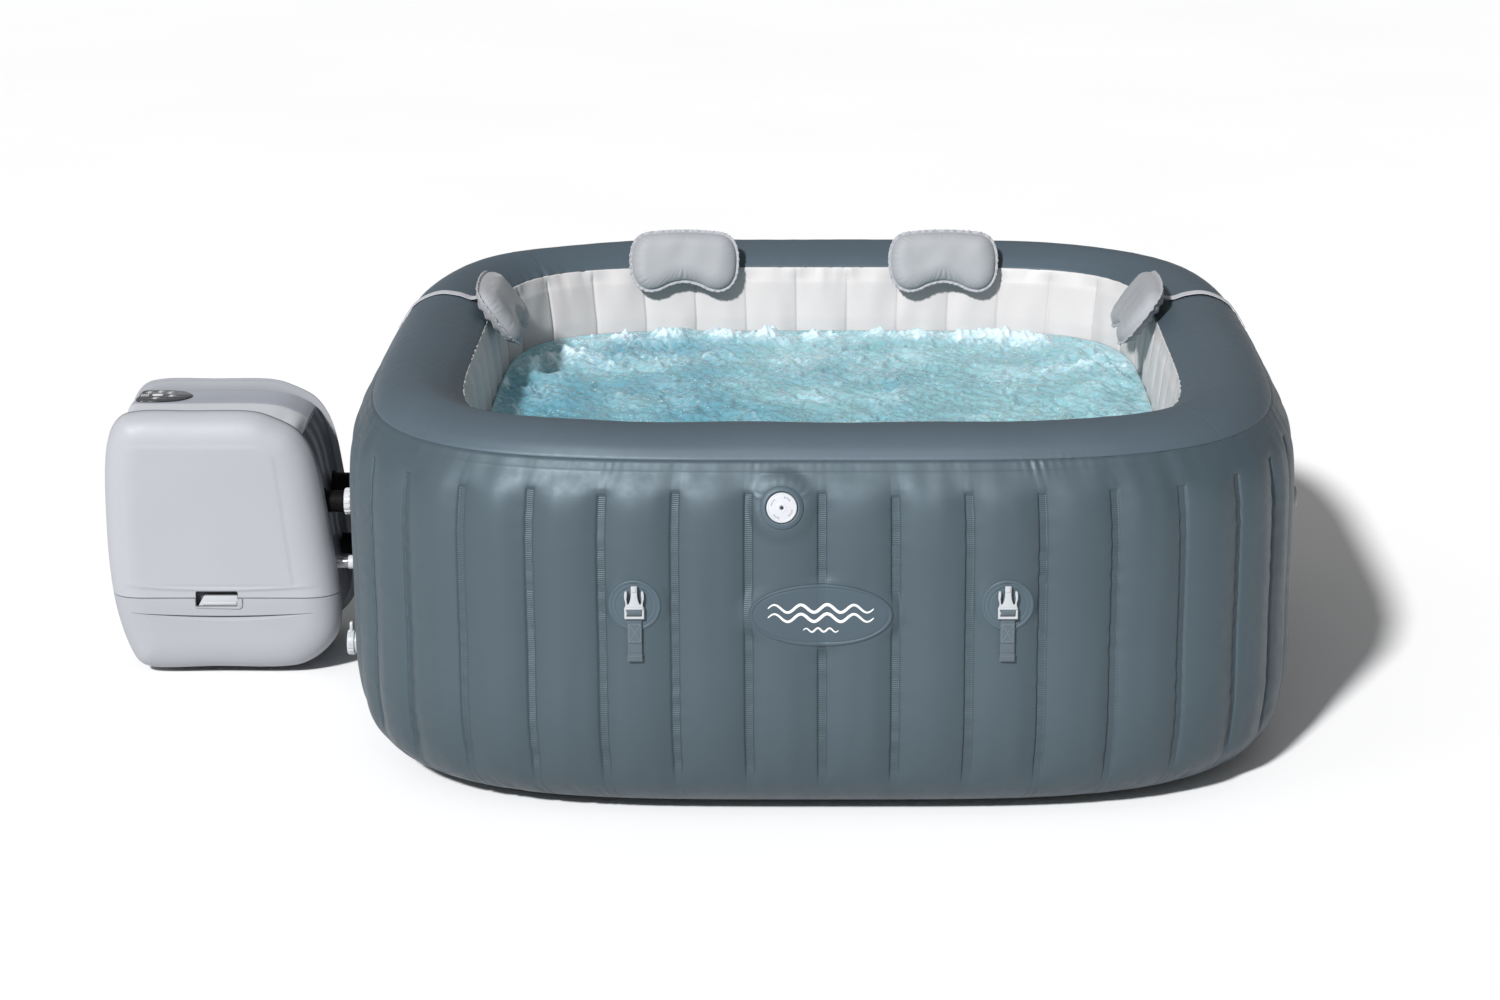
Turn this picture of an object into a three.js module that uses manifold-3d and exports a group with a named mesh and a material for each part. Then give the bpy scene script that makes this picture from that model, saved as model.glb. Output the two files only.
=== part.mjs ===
// Square inflatable hot tub with a free-standing pump and heater unit.
// Units are millimetres, +Z is up and -Y is the front of the tub.
// The origin is the centre of the tub's underside, on the ground.
import * as THREE from 'three';
import { mergeVertices } from 'three/addons/utils/BufferGeometryUtils.js';
import Module from 'manifold-3d';

const wasm = await Module();
wasm.setup();

// ---------------------------------------------------------------- dimensions
const HALF = 900;             // half of the tub's outside width
const TUB_HEIGHT = 710;       // crest of the rim
const PLAN_POWER = 3.9;       // superellipse power of the outside plan
const LINER_POWER = 5;        // superellipse power of the inside plan
const LINER_HALF = 680.6;     // half width of the inside at the rim's edge
const RIBS = 48;              // weld bands round the outer wall
const RIB_DEPTH = 8;          // how far a weld band is pulled in
const SKIN = 3.2;             // wall sheet thickness
const SEAM_Z = 665;           // weld between outer wall and rim
const RIM_INNER_Z = 671;      // weld between rim and liner
const GAP = 0.3;              // clearance between touching pieces

const PILLOW_HALF_W = 119, PILLOW_HALF_H = 68, PILLOW_HALF_T = 22;
const STRAP_W = 30, STRAP_T = 2;

const BADGE_W = 254, BADGE_H = 115, BADGE_Z = 396, BADGE_T = 3;
const DIAL_X = -70, DIAL_Z = 591, DIAL_R = 26.7, DIAL_FLANGE_R = 38;
const DIAL_BACK_Y = -893.2, DIAL_TILT = (15.5 * Math.PI) / 180; // the dial leans back with the shoulder
const BUCKLES = { left: -329, right: 326 };
const PATCH_R = 46, PATCH_Z = 413;
const PATCH_BACK_Y = -895.5;  // the wall curves back a little at the buckles
const WEB_W = 26;             // buckle webbing width

const PIPE_UPPER_Z = 349, PIPE_LOWER_Z = 221;
const PIPE_FRONT_Y = -30, PIPE_REAR_Y = 100;
const DUCT_R = 20, DUCT_BORE = 16;

const INFLATION = { y: -300, z: 437 };
const DRAIN = { y: -300, z: 143 };

const SHELL_FRONT_Y = -110, SHELL_JOIN_FRONT_Y = -60;
const SHELL_JOIN_REAR_Y = 192, SHELL_REAR_Y = 240;
const CHASSIS_INSET = 14, CHASSIS_TOP = 496;
const DOOR_SPLIT_Z = 170;
const PANEL_Z = 525.3;

// Outline of the pump's two shells, seen from the front: x, z.
const PUMP_OUTLINE = [
  [-1358, 12], [-1220, 12], [-1083, 12], [-1043, 20], [-1003, 46], [-974.6, 84], [-966.5, 130],
  [-971, 205], [-979, 272], [-987, 339], [-1003, 436], [-1020, 479], [-1043, 508], [-1083, 530],
  [-1124, 543], [-1250, 545], [-1374, 545], [-1402, 540], [-1414, 515],
  [-1424.5, 457], [-1429.6, 348], [-1428, 217], [-1418, 130], [-1398, 58], [-1380, 24],
];

// ------------------------------------------------------------------- colours
const mats = {};
function material(name, color, roughness, metalness = 0) {
  mats[name] = { color: new THREE.Color(...color), roughness, metalness };
}
material('tub_grey', [0.139, 0.178, 0.209], 0.5);
material('tub_grey_light', [0.175, 0.22, 0.25], 0.5);
material('liner_white', [0.78, 0.78, 0.79], 0.5);
material('pillow_grey', [0.5, 0.52, 0.55], 0.6);
material('webbing_light', [0.62, 0.62, 0.65], 0.8);
material('webbing_grey', [0.25, 0.3, 0.34], 0.85);
material('light_plastic', [0.6, 0.63, 0.66], 0.35);
material('white_plastic', [0.72, 0.73, 0.74], 0.35);
material('shell_grey', [0.58, 0.6, 0.63], 0.4);
material('chassis_grey', [0.12, 0.13, 0.15], 0.5);
material('console_grey', [0.36, 0.38, 0.42], 0.45);
material('panel_black', [0.05, 0.05, 0.055], 0.25);
material('key_white', [0.7, 0.7, 0.7], 0.4);
material('rubber_black', [0.02, 0.02, 0.025], 0.8);
material('filter_white', [0.75, 0.77, 0.8], 0.85);
material('steel', [0.55, 0.55, 0.56], 0.3, 0.9);
material('motor_black', [0.05, 0.05, 0.05], 0.5);
material('board_green', [0.03, 0.14, 0.06], 0.5);

// ------------------------------------------------------------ mesh utilities
function volumeOf(geometry) {
  const p = geometry.attributes.position, ix = geometry.index;
  let v = 0;
  for (let i = 0; i < ix.count; i += 3) {
    const [a, b, c] = [ix.getX(i), ix.getX(i + 1), ix.getX(i + 2)];
    v += p.getX(a) * (p.getY(b) * p.getZ(c) - p.getZ(b) * p.getY(c))
      + p.getY(a) * (p.getZ(b) * p.getX(c) - p.getX(b) * p.getZ(c))
      + p.getZ(a) * (p.getX(b) * p.getY(c) - p.getY(b) * p.getX(c));
  }
  return v / 6;
}

// Merge shared corners, drop empty triangles and turn every face outwards.
function clean(geometry) {
  let g = geometry.clone();
  g.deleteAttribute('normal');
  g.deleteAttribute('uv');
  g = mergeVertices(g, 1e-3);
  const keep = [];
  for (let i = 0; i < g.index.count; i += 3) {
    const [a, b, c] = [g.index.getX(i), g.index.getX(i + 1), g.index.getX(i + 2)];
    if (a !== b && b !== c && a !== c) keep.push(a, b, c);
  }
  g.setIndex(keep);
  if (volumeOf(g) < 0) {
    for (let i = 0; i < keep.length; i += 3) [keep[i], keep[i + 1]] = [keep[i + 1], keep[i]];
    g.setIndex(keep);
  }
  return g;
}

// A skin over rows of points. Each row closes on itself; ends are capped, or the rows close too.
function loft(rows, closed = false) {
  const n = rows[0].length, pos = [], index = [];
  for (const row of rows) for (const p of row) pos.push(...p);
  const last = closed ? rows.length : rows.length - 1;
  for (let r = 0; r < last; r++) {
    const q = (r + 1) % rows.length;
    for (let i = 0; i < n; i++) {
      const j = (i + 1) % n;
      index.push(r * n + i, r * n + j, q * n + j, r * n + i, q * n + j, q * n + i);
    }
  }
  if (!closed) {
    for (const [row, base, flip] of [[rows[0], 0, true], [rows.at(-1), (rows.length - 1) * n, false]]) {
      const c = [0, 1, 2].map((k) => row.reduce((s, p) => s + p[k], 0) / n);
      const centre = pos.length / 3;
      pos.push(...c);
      for (let i = 0; i < n; i++) {
        const j = (i + 1) % n;
        if (flip) index.push(base + j, base + i, centre);
        else index.push(base + i, base + j, centre);
      }
    }
  }
  const g = new THREE.BufferGeometry();
  g.setAttribute('position', new THREE.Float32BufferAttribute(pos, 3));
  g.setIndex(index);
  return clean(g);
}

// Turned piece: profile of [radius, height], axis +Y of three.js turned to the wanted axis.
function turned(profile, segments, axis = 'x') {
  const g = new THREE.LatheGeometry(profile.map(([r, h]) => new THREE.Vector2(r, h)), segments);
  if (axis === 'x') g.rotateZ(-Math.PI / 2);
  if (axis === 'z') g.rotateX(Math.PI / 2);
  if (axis === '-y') g.rotateX(Math.PI);
  return clean(g);
}

// Flat outline pushed along its normal: plane 'xy' rises in +Z, plane 'xz' goes back in +Y.
function plate(points, thickness, plane = 'xy', holes = []) {
  const shape = new THREE.Shape(points.map(([x, y]) => new THREE.Vector2(x, y)));
  for (const h of holes) shape.holes.push(new THREE.Path(h.map(([x, y]) => new THREE.Vector2(x, y))));
  const g = new THREE.ExtrudeGeometry(shape, { depth: thickness, bevelEnabled: false, curveSegments: 8 });
  if (plane === 'xz') { g.rotateX(Math.PI / 2); g.translate(0, thickness, 0); }
  return clean(g);
}

function block(x0, x1, y0, y1, z0, z1) {
  const g = new THREE.BoxGeometry(x1 - x0, y1 - y0, z1 - z0);
  g.translate((x0 + x1) / 2, (y0 + y1) / 2, (z0 + z1) / 2);
  return clean(g);
}

function circle(r, n, cx = 0, cy = 0, ry = r) {
  return Array.from({ length: n }, (_, i) => {
    const t = (2 * Math.PI * i) / n;
    return [cx + r * Math.cos(t), cy + ry * Math.sin(t)];
  });
}

function toManifold(geometry) {
  const g = geometry.index ? geometry : clean(geometry);
  return new wasm.Manifold(new wasm.Mesh({
    numProp: 3,
    vertProperties: new Float32Array(g.attributes.position.array),
    triVerts: new Uint32Array(g.index.array),
  }));
}

function fromManifold(solid) {
  const m = solid.getMesh();
  const g = new THREE.BufferGeometry();
  g.setAttribute('position', new THREE.Float32BufferAttribute(Array.from(m.vertProperties), 3));
  g.setIndex(Array.from(m.triVerts));
  return clean(g);
}

function cut(geometry, ...tools) {
  let solid = toManifold(geometry);
  for (const t of tools) solid = solid.subtract(toManifold(t));
  return fromManifold(solid);
}

function join(geometry, ...others) {
  let solid = toManifold(geometry);
  for (const t of others) solid = solid.add(toManifold(t));
  return fromManifold(solid);
}

function common(a, b) {
  return fromManifold(toManifold(a).intersect(toManifold(b)));
}

// --------------------------------------------------------------- scene graph
const spa = new THREE.Group();
const tub = new THREE.Group(), pump = new THREE.Group(), plumbing = new THREE.Group();
spa.add(tub, pump, plumbing);

function piece(group, name, geometry, mat, position = [0, 0, 0], rotation = [0, 0, 0]) {
  const mesh = new THREE.Mesh(geometry, new THREE.MeshStandardMaterial(mats[mat]));
  mesh.name = name;
  mesh.position.set(...position);
  mesh.rotation.set(...rotation);
  group.add(mesh);
  return mesh;
}

// ------------------------------------------------------- plan of the tub
const radial = (phi, n) => (Math.abs(Math.cos(phi)) ** n + Math.abs(Math.sin(phi)) ** n) ** (-1 / n);

// Angles that divide the outside plan into equal lengths, starting at the front centre.
const STEPS = 9600;
const arc = [0];
{
  let [px, py] = [0, -1];
  for (let i = 1; i <= STEPS; i++) {
    const phi = -Math.PI / 2 + (2 * Math.PI * i) / STEPS, r = radial(phi, PLAN_POWER);
    const [x, y] = [r * Math.cos(phi), r * Math.sin(phi)];
    arc.push(arc.at(-1) + Math.hypot(x - px, y - py));
    [px, py] = [x, y];
  }
}
function angleAt(fraction) {
  const want = fraction * arc[STEPS];
  let lo = 0, hi = STEPS;
  while (hi - lo > 1) { const m = (lo + hi) >> 1; if (arc[m] <= want) lo = m; else hi = m; }
  const f = (want - arc[lo]) / (arc[hi] - arc[lo]);
  return -Math.PI / 2 + (2 * Math.PI * (lo + f)) / STEPS;
}
function ring(count, half, z, power = PLAN_POWER, groove = 0) {
  return Array.from({ length: count }, (_, i) => {
    const phi = angleAt(i / count);
    const r = (half - (i % 2 === 0 ? groove : 0)) * radial(phi, power);
    return [r * Math.cos(phi), r * Math.sin(phi), z];
  });
}

// ------------------------------------------------------------- tub: skins
// Each row: height, distance in from the widest plan, share of the rib depth.
const WALL_OUT = [[0, 170, 0], [12, 100, 0], [34, 52, 0.3], [74, 18, 0.8], [150, 2, 1], [520, 0, 1],
  [600, 10, 0.6], [SEAM_Z - GAP, 45, 0]];
const WALL_IN = [[SEAM_Z - GAP, 49.5, 0], [600, 15, 0.6], [520, SKIN, 1], [151, 5.4, 1], [36, 60, 0.3], [3, 171, 0]];
const RIM_OUT = [[SEAM_Z + GAP, 45.4], [686, 62], [702, 86], [TUB_HEIGHT, 116], [706.5, 152],
  [691.5, 192], [RIM_INNER_Z + GAP, HALF - LINER_HALF]];
const RIM_IN = [[RIM_INNER_Z + GAP, HALF - LINER_HALF - 4.4], [688.6, 190], [703.3, 151], [706.6, 117],
  [699.2, 88.5], [683.6, 65.5], [SEAM_Z + GAP, 50]];
const LINER_FRONT = [[RIM_INNER_Z - GAP, 0], [640, 10], [560, 20], [300, 24], [4.5, 14]];
const LINER_BACK = [[4.5, 14 - SKIN], [300, 24 - SKIN], [560, 20 - SKIN], [RIM_INNER_Z - GAP, -SKIN]];

const ease = (t) => { const c = Math.min(1, Math.max(0, t)); return c * c * (3 - 2 * c); };
const rimPower = (d) => PLAN_POWER + (LINER_POWER - PLAN_POWER) * ease((d - 110) / 109);

let outerWall = loft([...WALL_OUT, ...WALL_IN].map(([z, d, g]) => ring(RIBS * 2, HALF - d, z, PLAN_POWER, g * RIB_DEPTH)), true);
let innerLiner = loft([...LINER_FRONT, ...LINER_BACK].map(([z, d]) => ring(56, LINER_HALF - d, z, LINER_POWER)), true);
const topRim = loft([...RIM_OUT, ...RIM_IN].map(([z, d]) => ring(60, HALF - d, z, rimPower(d))), true);

// Corrugated web that ties the outer wall to the liner inside the air chamber.
const zig = (outer, inner, z) => Array.from({ length: RIBS * 2 }, (_, i) => {
  const phi = angleAt(i / (RIBS * 2)), even = i % 2 === 0;
  const r = even ? outer * radial(phi, PLAN_POWER) : inner * radial(phi, LINER_POWER);
  return [r * Math.cos(phi), r * Math.sin(phi), z];
});
let webs = loft([zig(884, 683, 150), zig(884, 683, 540), zig(877, 676, 540), zig(877, 676, 150)], true);

// --------------------------------------------------- openings in the skins
const rod = (r, x0, x1, y, z, n = 16) => {
  const g = new THREE.CylinderGeometry(r, r, x1 - x0, n);
  g.rotateZ(-Math.PI / 2);
  g.translate((x0 + x1) / 2, y, z);
  return clean(g);
};
const PIPES = [
  ['upper_front', PIPE_FRONT_Y, PIPE_UPPER_Z], ['upper_rear', PIPE_REAR_Y, PIPE_UPPER_Z],
  ['lower_front', PIPE_FRONT_Y, PIPE_LOWER_Z], ['lower_rear', PIPE_REAR_Y, PIPE_LOWER_Z],
];
const ductHoles = PIPES.map(([, y, z]) => rod(DUCT_R + 1, -960, -600, y, z, 12));
const drainHole = rod(17, -960, -600, DRAIN.y, DRAIN.z, 12);
const inflationHole = rod(15, 820, 960, INFLATION.y, INFLATION.z, 12);
const NOZZLES = [
  ['back_left', [-299, 658, 300], [0, -1]], ['back_right', [263, 658, 300], [0, -1]],
  ['side_left', [-656, 250, 300], [1, 0]], ['side_right', [656, 250, 300], [-1, 0]],
];
const NOZZLE_R = 22;
const across = (r, [x, y, z], [dx, dy], n) => {
  const g = new THREE.CylinderGeometry(r, r, 90, n);
  if (dx) g.rotateZ(Math.PI / 2);
  g.translate(x, y, z);
  return clean(g);
};
const nozzleHoles = NOZZLES.map(([, c, d]) => across(NOZZLE_R + 2.4, c, d, 12));

outerWall = cut(outerWall, ...ductHoles, drainHole, inflationHole);
innerLiner = cut(innerLiner, ...ductHoles, drainHole, ...nozzleHoles);
const room = (r, x0, x1, y, z) => block(x0, x1, y - r, y + r, z - r, z + r);
webs = cut(webs, ...PIPES.map(([, y, z]) => room(DUCT_R + 8, -960, -600, y, z)),
  room(24, -960, -600, DRAIN.y, DRAIN.z), room(26, 780, 960, INFLATION.y, INFLATION.z),
  ...NOZZLES.map(([, [x, y, z]]) => block(x - 34, x + 34, y - 34, y + 34, z - 34, z + 34)));

piece(tub, 'outer_wall', outerWall, 'tub_grey');
piece(tub, 'top_rim', topRim, 'tub_grey_light');
piece(tub, 'inner_liner', innerLiner, 'liner_white');
piece(tub, 'tension_webs', webs, 'liner_white');
piece(tub, 'base_sheet', plate(ring(48, 726, 0).map(([x, y]) => [x, y]), 3.6), 'tub_grey');

// Perforated bubble tube round the foot of the liner.
{
  const R = 11, n = 5, rows = [];
  for (let k = 0; k < n; k++) {
    const t = (2 * Math.PI * k) / n + Math.PI / 10;
    rows.push(ring(44, 640 + R * Math.cos(t), 4.4 + R * 0.9 + R * 0.9 * Math.sin(t), LINER_POWER));
  }
  piece(tub, 'bubble_channel', loft(rows, true), 'liner_white');
}

// ------------------------------------------------------------ front details
piece(tub, 'badge_plate', plate(circle(BADGE_W / 2, 32, 0, 0, BADGE_H / 2), BADGE_T, 'xz'), 'tub_grey',
  [-2, -HALF - BADGE_T - GAP, BADGE_Z]);

// Air control valve: flange welded to the wall, dial turning in its recess.
piece(tub, 'dial_flange', turned([[0, 0], [DIAL_FLANGE_R, 0], [DIAL_FLANGE_R, 3], [DIAL_FLANGE_R - 4, 5.5],
  [DIAL_R + 3, 5.5], [DIAL_R + 2, 2], [0, 2]], 24, '-y'), 'tub_grey_light', [DIAL_X, DIAL_BACK_Y, DIAL_Z], [-DIAL_TILT, 0, 0]);
piece(tub, 'air_control_dial', turned([[0, 0], [DIAL_R, 0], [DIAL_R, 5.5], [DIAL_R - 2, 7], [0, 7]], 24, '-y'),
  'light_plastic', [DIAL_X, DIAL_BACK_Y - 2.4 * Math.cos(DIAL_TILT), DIAL_Z + 2.4 * Math.sin(DIAL_TILT)], [-DIAL_TILT, 0, 0]);

for (const [side, x] of Object.entries(BUCKLES)) {
  piece(tub, `buckle_patch_${side}`, turned([[0, 0], [PATCH_R, 0], [PATCH_R, 1], [PATCH_R - 1, 1.8], [0, 1.8]], 24, '-y'),
    'tub_grey_light', [x, PATCH_BACK_Y, PATCH_Z]);
  // Plug of a side-release buckle, pointing up: frame with two spring arms and a middle tongue.
  const plug = [[-16.5, 0], [16.5, 0], [16.5, 24], [13.5, 28], [16.5, 36], [16.5, 50], [12, 58], [8.5, 52],
    [8.5, 33], [4, 30], [4, 61], [-4, 61], [-4, 30], [-8.5, 33], [-8.5, 52], [-12, 58], [-16.5, 50],
    [-16.5, 36], [-13.5, 28], [-16.5, 24]];
  const slot = [[-12.5, 9], [12.5, 9], [12.5, 13], [-12.5, 13]];
  piece(tub, `buckle_${side}`, plate(plug, 8, 'xz', [slot]), 'light_plastic', [x, PATCH_BACK_Y - 12.6, 391]);
  piece(tub, `strap_${side}`, plate([[-WEB_W / 2, 311], [WEB_W / 2, 311], [WEB_W / 2, 389], [-WEB_W / 2, 389]], 3, 'xz'),
    'webbing_grey', [x, PATCH_BACK_Y - 6.7, 0]);
}

// -------------------------------------------------------------------- valves
piece(tub, 'inflation_valve_base', turned([[0, -26], [13, -26], [13, 0.4], [25, 0.4], [25, 3], [16, 5], [0, 5]], 16, 'x'),
  'light_plastic', [897.3, INFLATION.y, INFLATION.z]);
piece(tub, 'inflation_valve_cap', turned([[0, 0], [19, 0], [21, 2], [21, 6.5], [18, 8], [0, 8]], 16, 'x'),
  'light_plastic', [897.3 + 5.4, INFLATION.y, INFLATION.z]);
const drainBody = turned([[10, -258], [24, -258], [24, -252], [15, -252], [15, -0.4], [28, -0.4], [28, 3], [22, 6],
  [22, 10], [10, 10], [10, -258]], 12, 'x');
drainBody.scale(-1, 1, 1);
piece(tub, 'drain_valve_body', clean(drainBody), 'light_plastic', [-897.4, DRAIN.y, DRAIN.z]);
const drainCap = turned([[0, 0], [25, 0], [25, 11], [22, 14], [0, 14]], 16, 'x');
drainCap.scale(-1, 1, 1);
piece(tub, 'drain_cap', join(clean(drainCap), block(-9, -3, -7, 7, 18, 42)), 'light_plastic',
  [-897.4 - 10.4, DRAIN.y, DRAIN.z]);

// ------------------------------------------------------------------- pillows
// Outline in the pillow's own plane: u along its length, w up.
const PILLOW = [[-90, 62], [-50, 68], [0, 70], [50, 68], [90, 62], [108, 48], [117.5, 24], [119, -6], [114, -36],
  [100, -57], [78, -67], [54, -64], [30, -53], [0, -47], [-30, -53], [-54, -64], [-78, -67], [-100, -57],
  [-114, -36], [-119, -6], [-117.5, 24], [-108, 48]];
const pillow = (() => {
  const rows = [[-PILLOW_HALF_T, 0.68], [-10, 0.97], [10, 0.97], [PILLOW_HALF_T, 0.68]];
  return loft(rows.map(([t, s]) => PILLOW.map(([u, w]) => [u * s, t, w * s])));
})();

// Webbing over the rim, from the outer wall to the back of a pillow: distance in, height.
const OVER_RIM = [[30, 640], [45, 665], [62, 687], [86, 703.4], [116, 712], [152, 708.6], [180, 699.8]];
function rimStrap(endD, endZ) {
  const path = [...OVER_RIM, [endD, endZ]];
  const rows = path.map(([d, z], i) => {
    const a = path[Math.max(0, i - 1)], b = path[Math.min(path.length - 1, i + 1)];
    const len = Math.hypot(b[0] - a[0], b[1] - a[1]);
    const [nx, nz] = [-(b[1] - a[1]) / len, (b[0] - a[0]) / len];
    // local frame: x runs inwards from the outer plan, z is up
    const lift = 1.5;
    const p = (off, w) => [d + nx * off, w, z + nz * off];
    return [p(lift, -STRAP_W / 2), p(lift, STRAP_W / 2), p(lift + STRAP_T, STRAP_W / 2), p(lift + STRAP_T, -STRAP_W / 2)];
  });
  return loft(rows);
}
// name, centre, lean back in degrees, turn about Z
const PILLOWS = [
  ['back_left', [-299, 653, 690], 20, 0], ['back_right', [263, 653, 690], 20, 0],
  ['side_left', [-655, 250, 684], 37, Math.PI / 2], ['side_right', [646, 250, 684], 37, -Math.PI / 2],
];
for (const [name, c, lean, turn] of PILLOWS) {
  const holder = new THREE.Group();
  holder.position.set(...c);
  holder.rotation.set(0, 0, turn);
  tub.add(holder);
  const back = name.startsWith('back');
  const g0 = pillow.clone();
  if (!back) g0.scale(1.06, 1, 1.1);   // the side pair is a little larger
  piece(holder, `pillow_${name}`, g0, 'pillow_grey', [0, 0, 0], [-lean * Math.PI / 180, 0, 0]);
  const strapHolder = new THREE.Group();
  const across = back ? c[0] : c[1];
  // the strap's local x points in from the outside face
  if (name.startsWith('back')) { strapHolder.position.set(across, HALF, 0); strapHolder.rotation.z = -Math.PI / 2; }
  if (name === 'side_left') strapHolder.position.set(-HALF, across, 0);
  if (name === 'side_right') { strapHolder.position.set(HALF, across, 0); strapHolder.rotation.z = Math.PI; }
  tub.add(strapHolder);
  // plan drift of the outside at this place
  const drift = HALF - HALF * (1 - (Math.abs(across) / HALF) ** PLAN_POWER) ** (1 / PLAN_POWER);
  const g = rimStrap(...(back ? [211, 700.5] : name === 'side_right' ? [205, 704] : [196.5, 704]));
  g.translate(drift, 0, 0);
  piece(strapHolder, `pillow_strap_${name}`, clean(g), 'webbing_light');
}

// ------------------------------------------------------------------ plumbing
const fitting = (name, profile, mat, x, y, z, n = 12) => piece(plumbing, name, turned([...profile, profile[0]], n, 'x'), mat, [x, y, z]);
for (const [name, y, z] of PIPES) {
  const upper = name.startsWith('upper');
  if (upper) {
    fitting(`pump_port_${name}`, [[DUCT_BORE, 0], [26, 0], [26, 4], [22, 5], [22, 41.8], [DUCT_BORE, 41.8]],
      'rubber_black', -998.2, y, z);
    piece(plumbing, `union_nut_${name}`, turned([[21.2, 0], [25, 0], [27, 2], [27, 11], [25, 13], [21.2, 13], [21.2, 0]], 12, 'x'),
      'light_plastic', [-955.9, y, z]);
    fitting(`wall_fitting_${name}`, [[DUCT_BORE, 0], [DUCT_R, 0], [DUCT_R, 14], [29, 14], [29, 22], [27, 24], [27, 40],
      [32, 42], [32, 55], [DUCT_R, 55], [DUCT_R, 300.2], [30, 300.2], [30, 306], [DUCT_BORE, 306]], 'white_plastic', -955.9, y, z);
  } else {
    const rear = name.endsWith('rear');
    fitting(`pump_port_${name}`, rear
      ? [[DUCT_BORE, 0], [24, 0], [22, 2], [22, 40], [DUCT_BORE, 40]]
      : [[9, 0], [16, 0], [16, 3], [12.5, 4], [12.5, 30], [9, 30]], rear ? 'rubber_black' : 'light_plastic', -983.8, y, z);
    const start = rear ? 40.4 : 30.4, bore = rear ? DUCT_BORE : 9;
    fitting(`wall_fitting_${name}`, [[bore, start], [rear ? 21 : 14, start], [rear ? 21 : 14, 58], [30, 70], [30, 83],
      [DUCT_R, 83], [DUCT_R, 328.1], [30, 328.1], [30, 334], [bore, 334]], 'white_plastic', -983.8, y, z);
  }
}
// Filter on the suction fitting inside the tub: pleated cylinder on a screw collar.
{
  const pleats = Array.from({ length: 40 }, (_, i) => {
    const t = (2 * Math.PI * i) / 40, r = i % 2 ? 44 : 50;
    return [r * Math.cos(t), r * Math.sin(t)];
  });
  const g = plate(pleats, 84, 'xy', [circle(18, 12).reverse()]);
  g.rotateY(Math.PI / 2);
  piece(plumbing, 'filter_cartridge', clean(g), 'filter_white', [-649.5, PIPE_FRONT_Y, PIPE_UPPER_Z]);
}
for (const [name, [x, y, z], [dx, dy]] of NOZZLES) {
  const holder = new THREE.Group();
  holder.position.set(x, y, z);
  holder.rotation.z = Math.atan2(dy, dx);
  plumbing.add(holder);
  const N = NOZZLE_R;
  piece(holder, `jet_nozzle_${name}`, turned([[0, -N], [N * 0.6, -N * 0.8], [N * 0.95, -N * 0.3], [N * 0.95, N * 0.3],
    [N * 0.7, N * 0.72], [14, 24], [9, 24], [7, 6], [0, 6]], 10, 'x'), 'light_plastic');
}

// ---------------------------------------------------------------------- pump
function inset(amount, y, minZ = -1e9, maxZ = 1e9) {
  const n = PUMP_OUTLINE.length;
  return PUMP_OUTLINE.map(([x, z], i) => {
    const a = PUMP_OUTLINE[(i + n - 1) % n], b = PUMP_OUTLINE[(i + 1) % n];
    const len = Math.hypot(b[0] - a[0], b[1] - a[1]);
    const nx = -(b[1] - a[1]) / len, nz = (b[0] - a[0]) / len;
    return [x + nx * amount, y, Math.min(maxZ, Math.max(minZ, z + nz * amount))];
  });
}
const frontCup = loft([
  inset(66, SHELL_FRONT_Y), inset(52, SHELL_FRONT_Y + 1.5), inset(28, SHELL_FRONT_Y + 9), inset(9, SHELL_FRONT_Y + 26), inset(0, SHELL_JOIN_FRONT_Y),
  inset(4, SHELL_JOIN_FRONT_Y), inset(13, SHELL_FRONT_Y + 27.5), inset(31, SHELL_FRONT_Y + 13), inset(66, SHELL_FRONT_Y + 4.5),
]);
const latchNotch = block(-1259, -1167, -130, -50, 151, 184);
const upperFront = cut(common(frontCup, block(-1500, -900, -130, -50, DOOR_SPLIT_Z + GAP, 600)), latchNotch);
const lowerFront = cut(common(frontCup, block(-1500, -900, -130, -50, -20, DOOR_SPLIT_Z - GAP)), latchNotch);
piece(pump, 'pump_front_shell', upperFront, 'shell_grey');
piece(pump, 'access_door', lowerFront, 'shell_grey');
piece(pump, 'door_latch', block(-1258, -1168, -107, -99, 152, 183), 'light_plastic');
piece(pump, 'pump_rear_shell', loft([
  inset(60, SHELL_REAR_Y), inset(30, SHELL_REAR_Y - 8), inset(9, SHELL_REAR_Y - 25), inset(0, SHELL_JOIN_REAR_Y),
  inset(4, SHELL_JOIN_REAR_Y), inset(13, SHELL_REAR_Y - 26.5), inset(33, SHELL_REAR_Y - 12), inset(60, SHELL_REAR_Y - 4.5),
]), 'shell_grey');

// Chassis: a closed band between the shells, with the base it stands on.
const y0 = SHELL_JOIN_FRONT_Y + GAP, y1 = SHELL_JOIN_REAR_Y - GAP;
const band = loft([
  inset(CHASSIS_INSET, y0, 6, CHASSIS_TOP), inset(CHASSIS_INSET, y1, 6, CHASSIS_TOP),
  inset(CHASSIS_INSET + 4, y1, 10, CHASSIS_TOP - 4), inset(CHASSIS_INSET + 4, y0, 10, CHASSIS_TOP - 4),
], true);
let chassis = join(band, block(-1335, -1100, -15, 175, 0, 28));
piece(pump, 'pump_chassis', chassis, 'chassis_grey');

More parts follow.
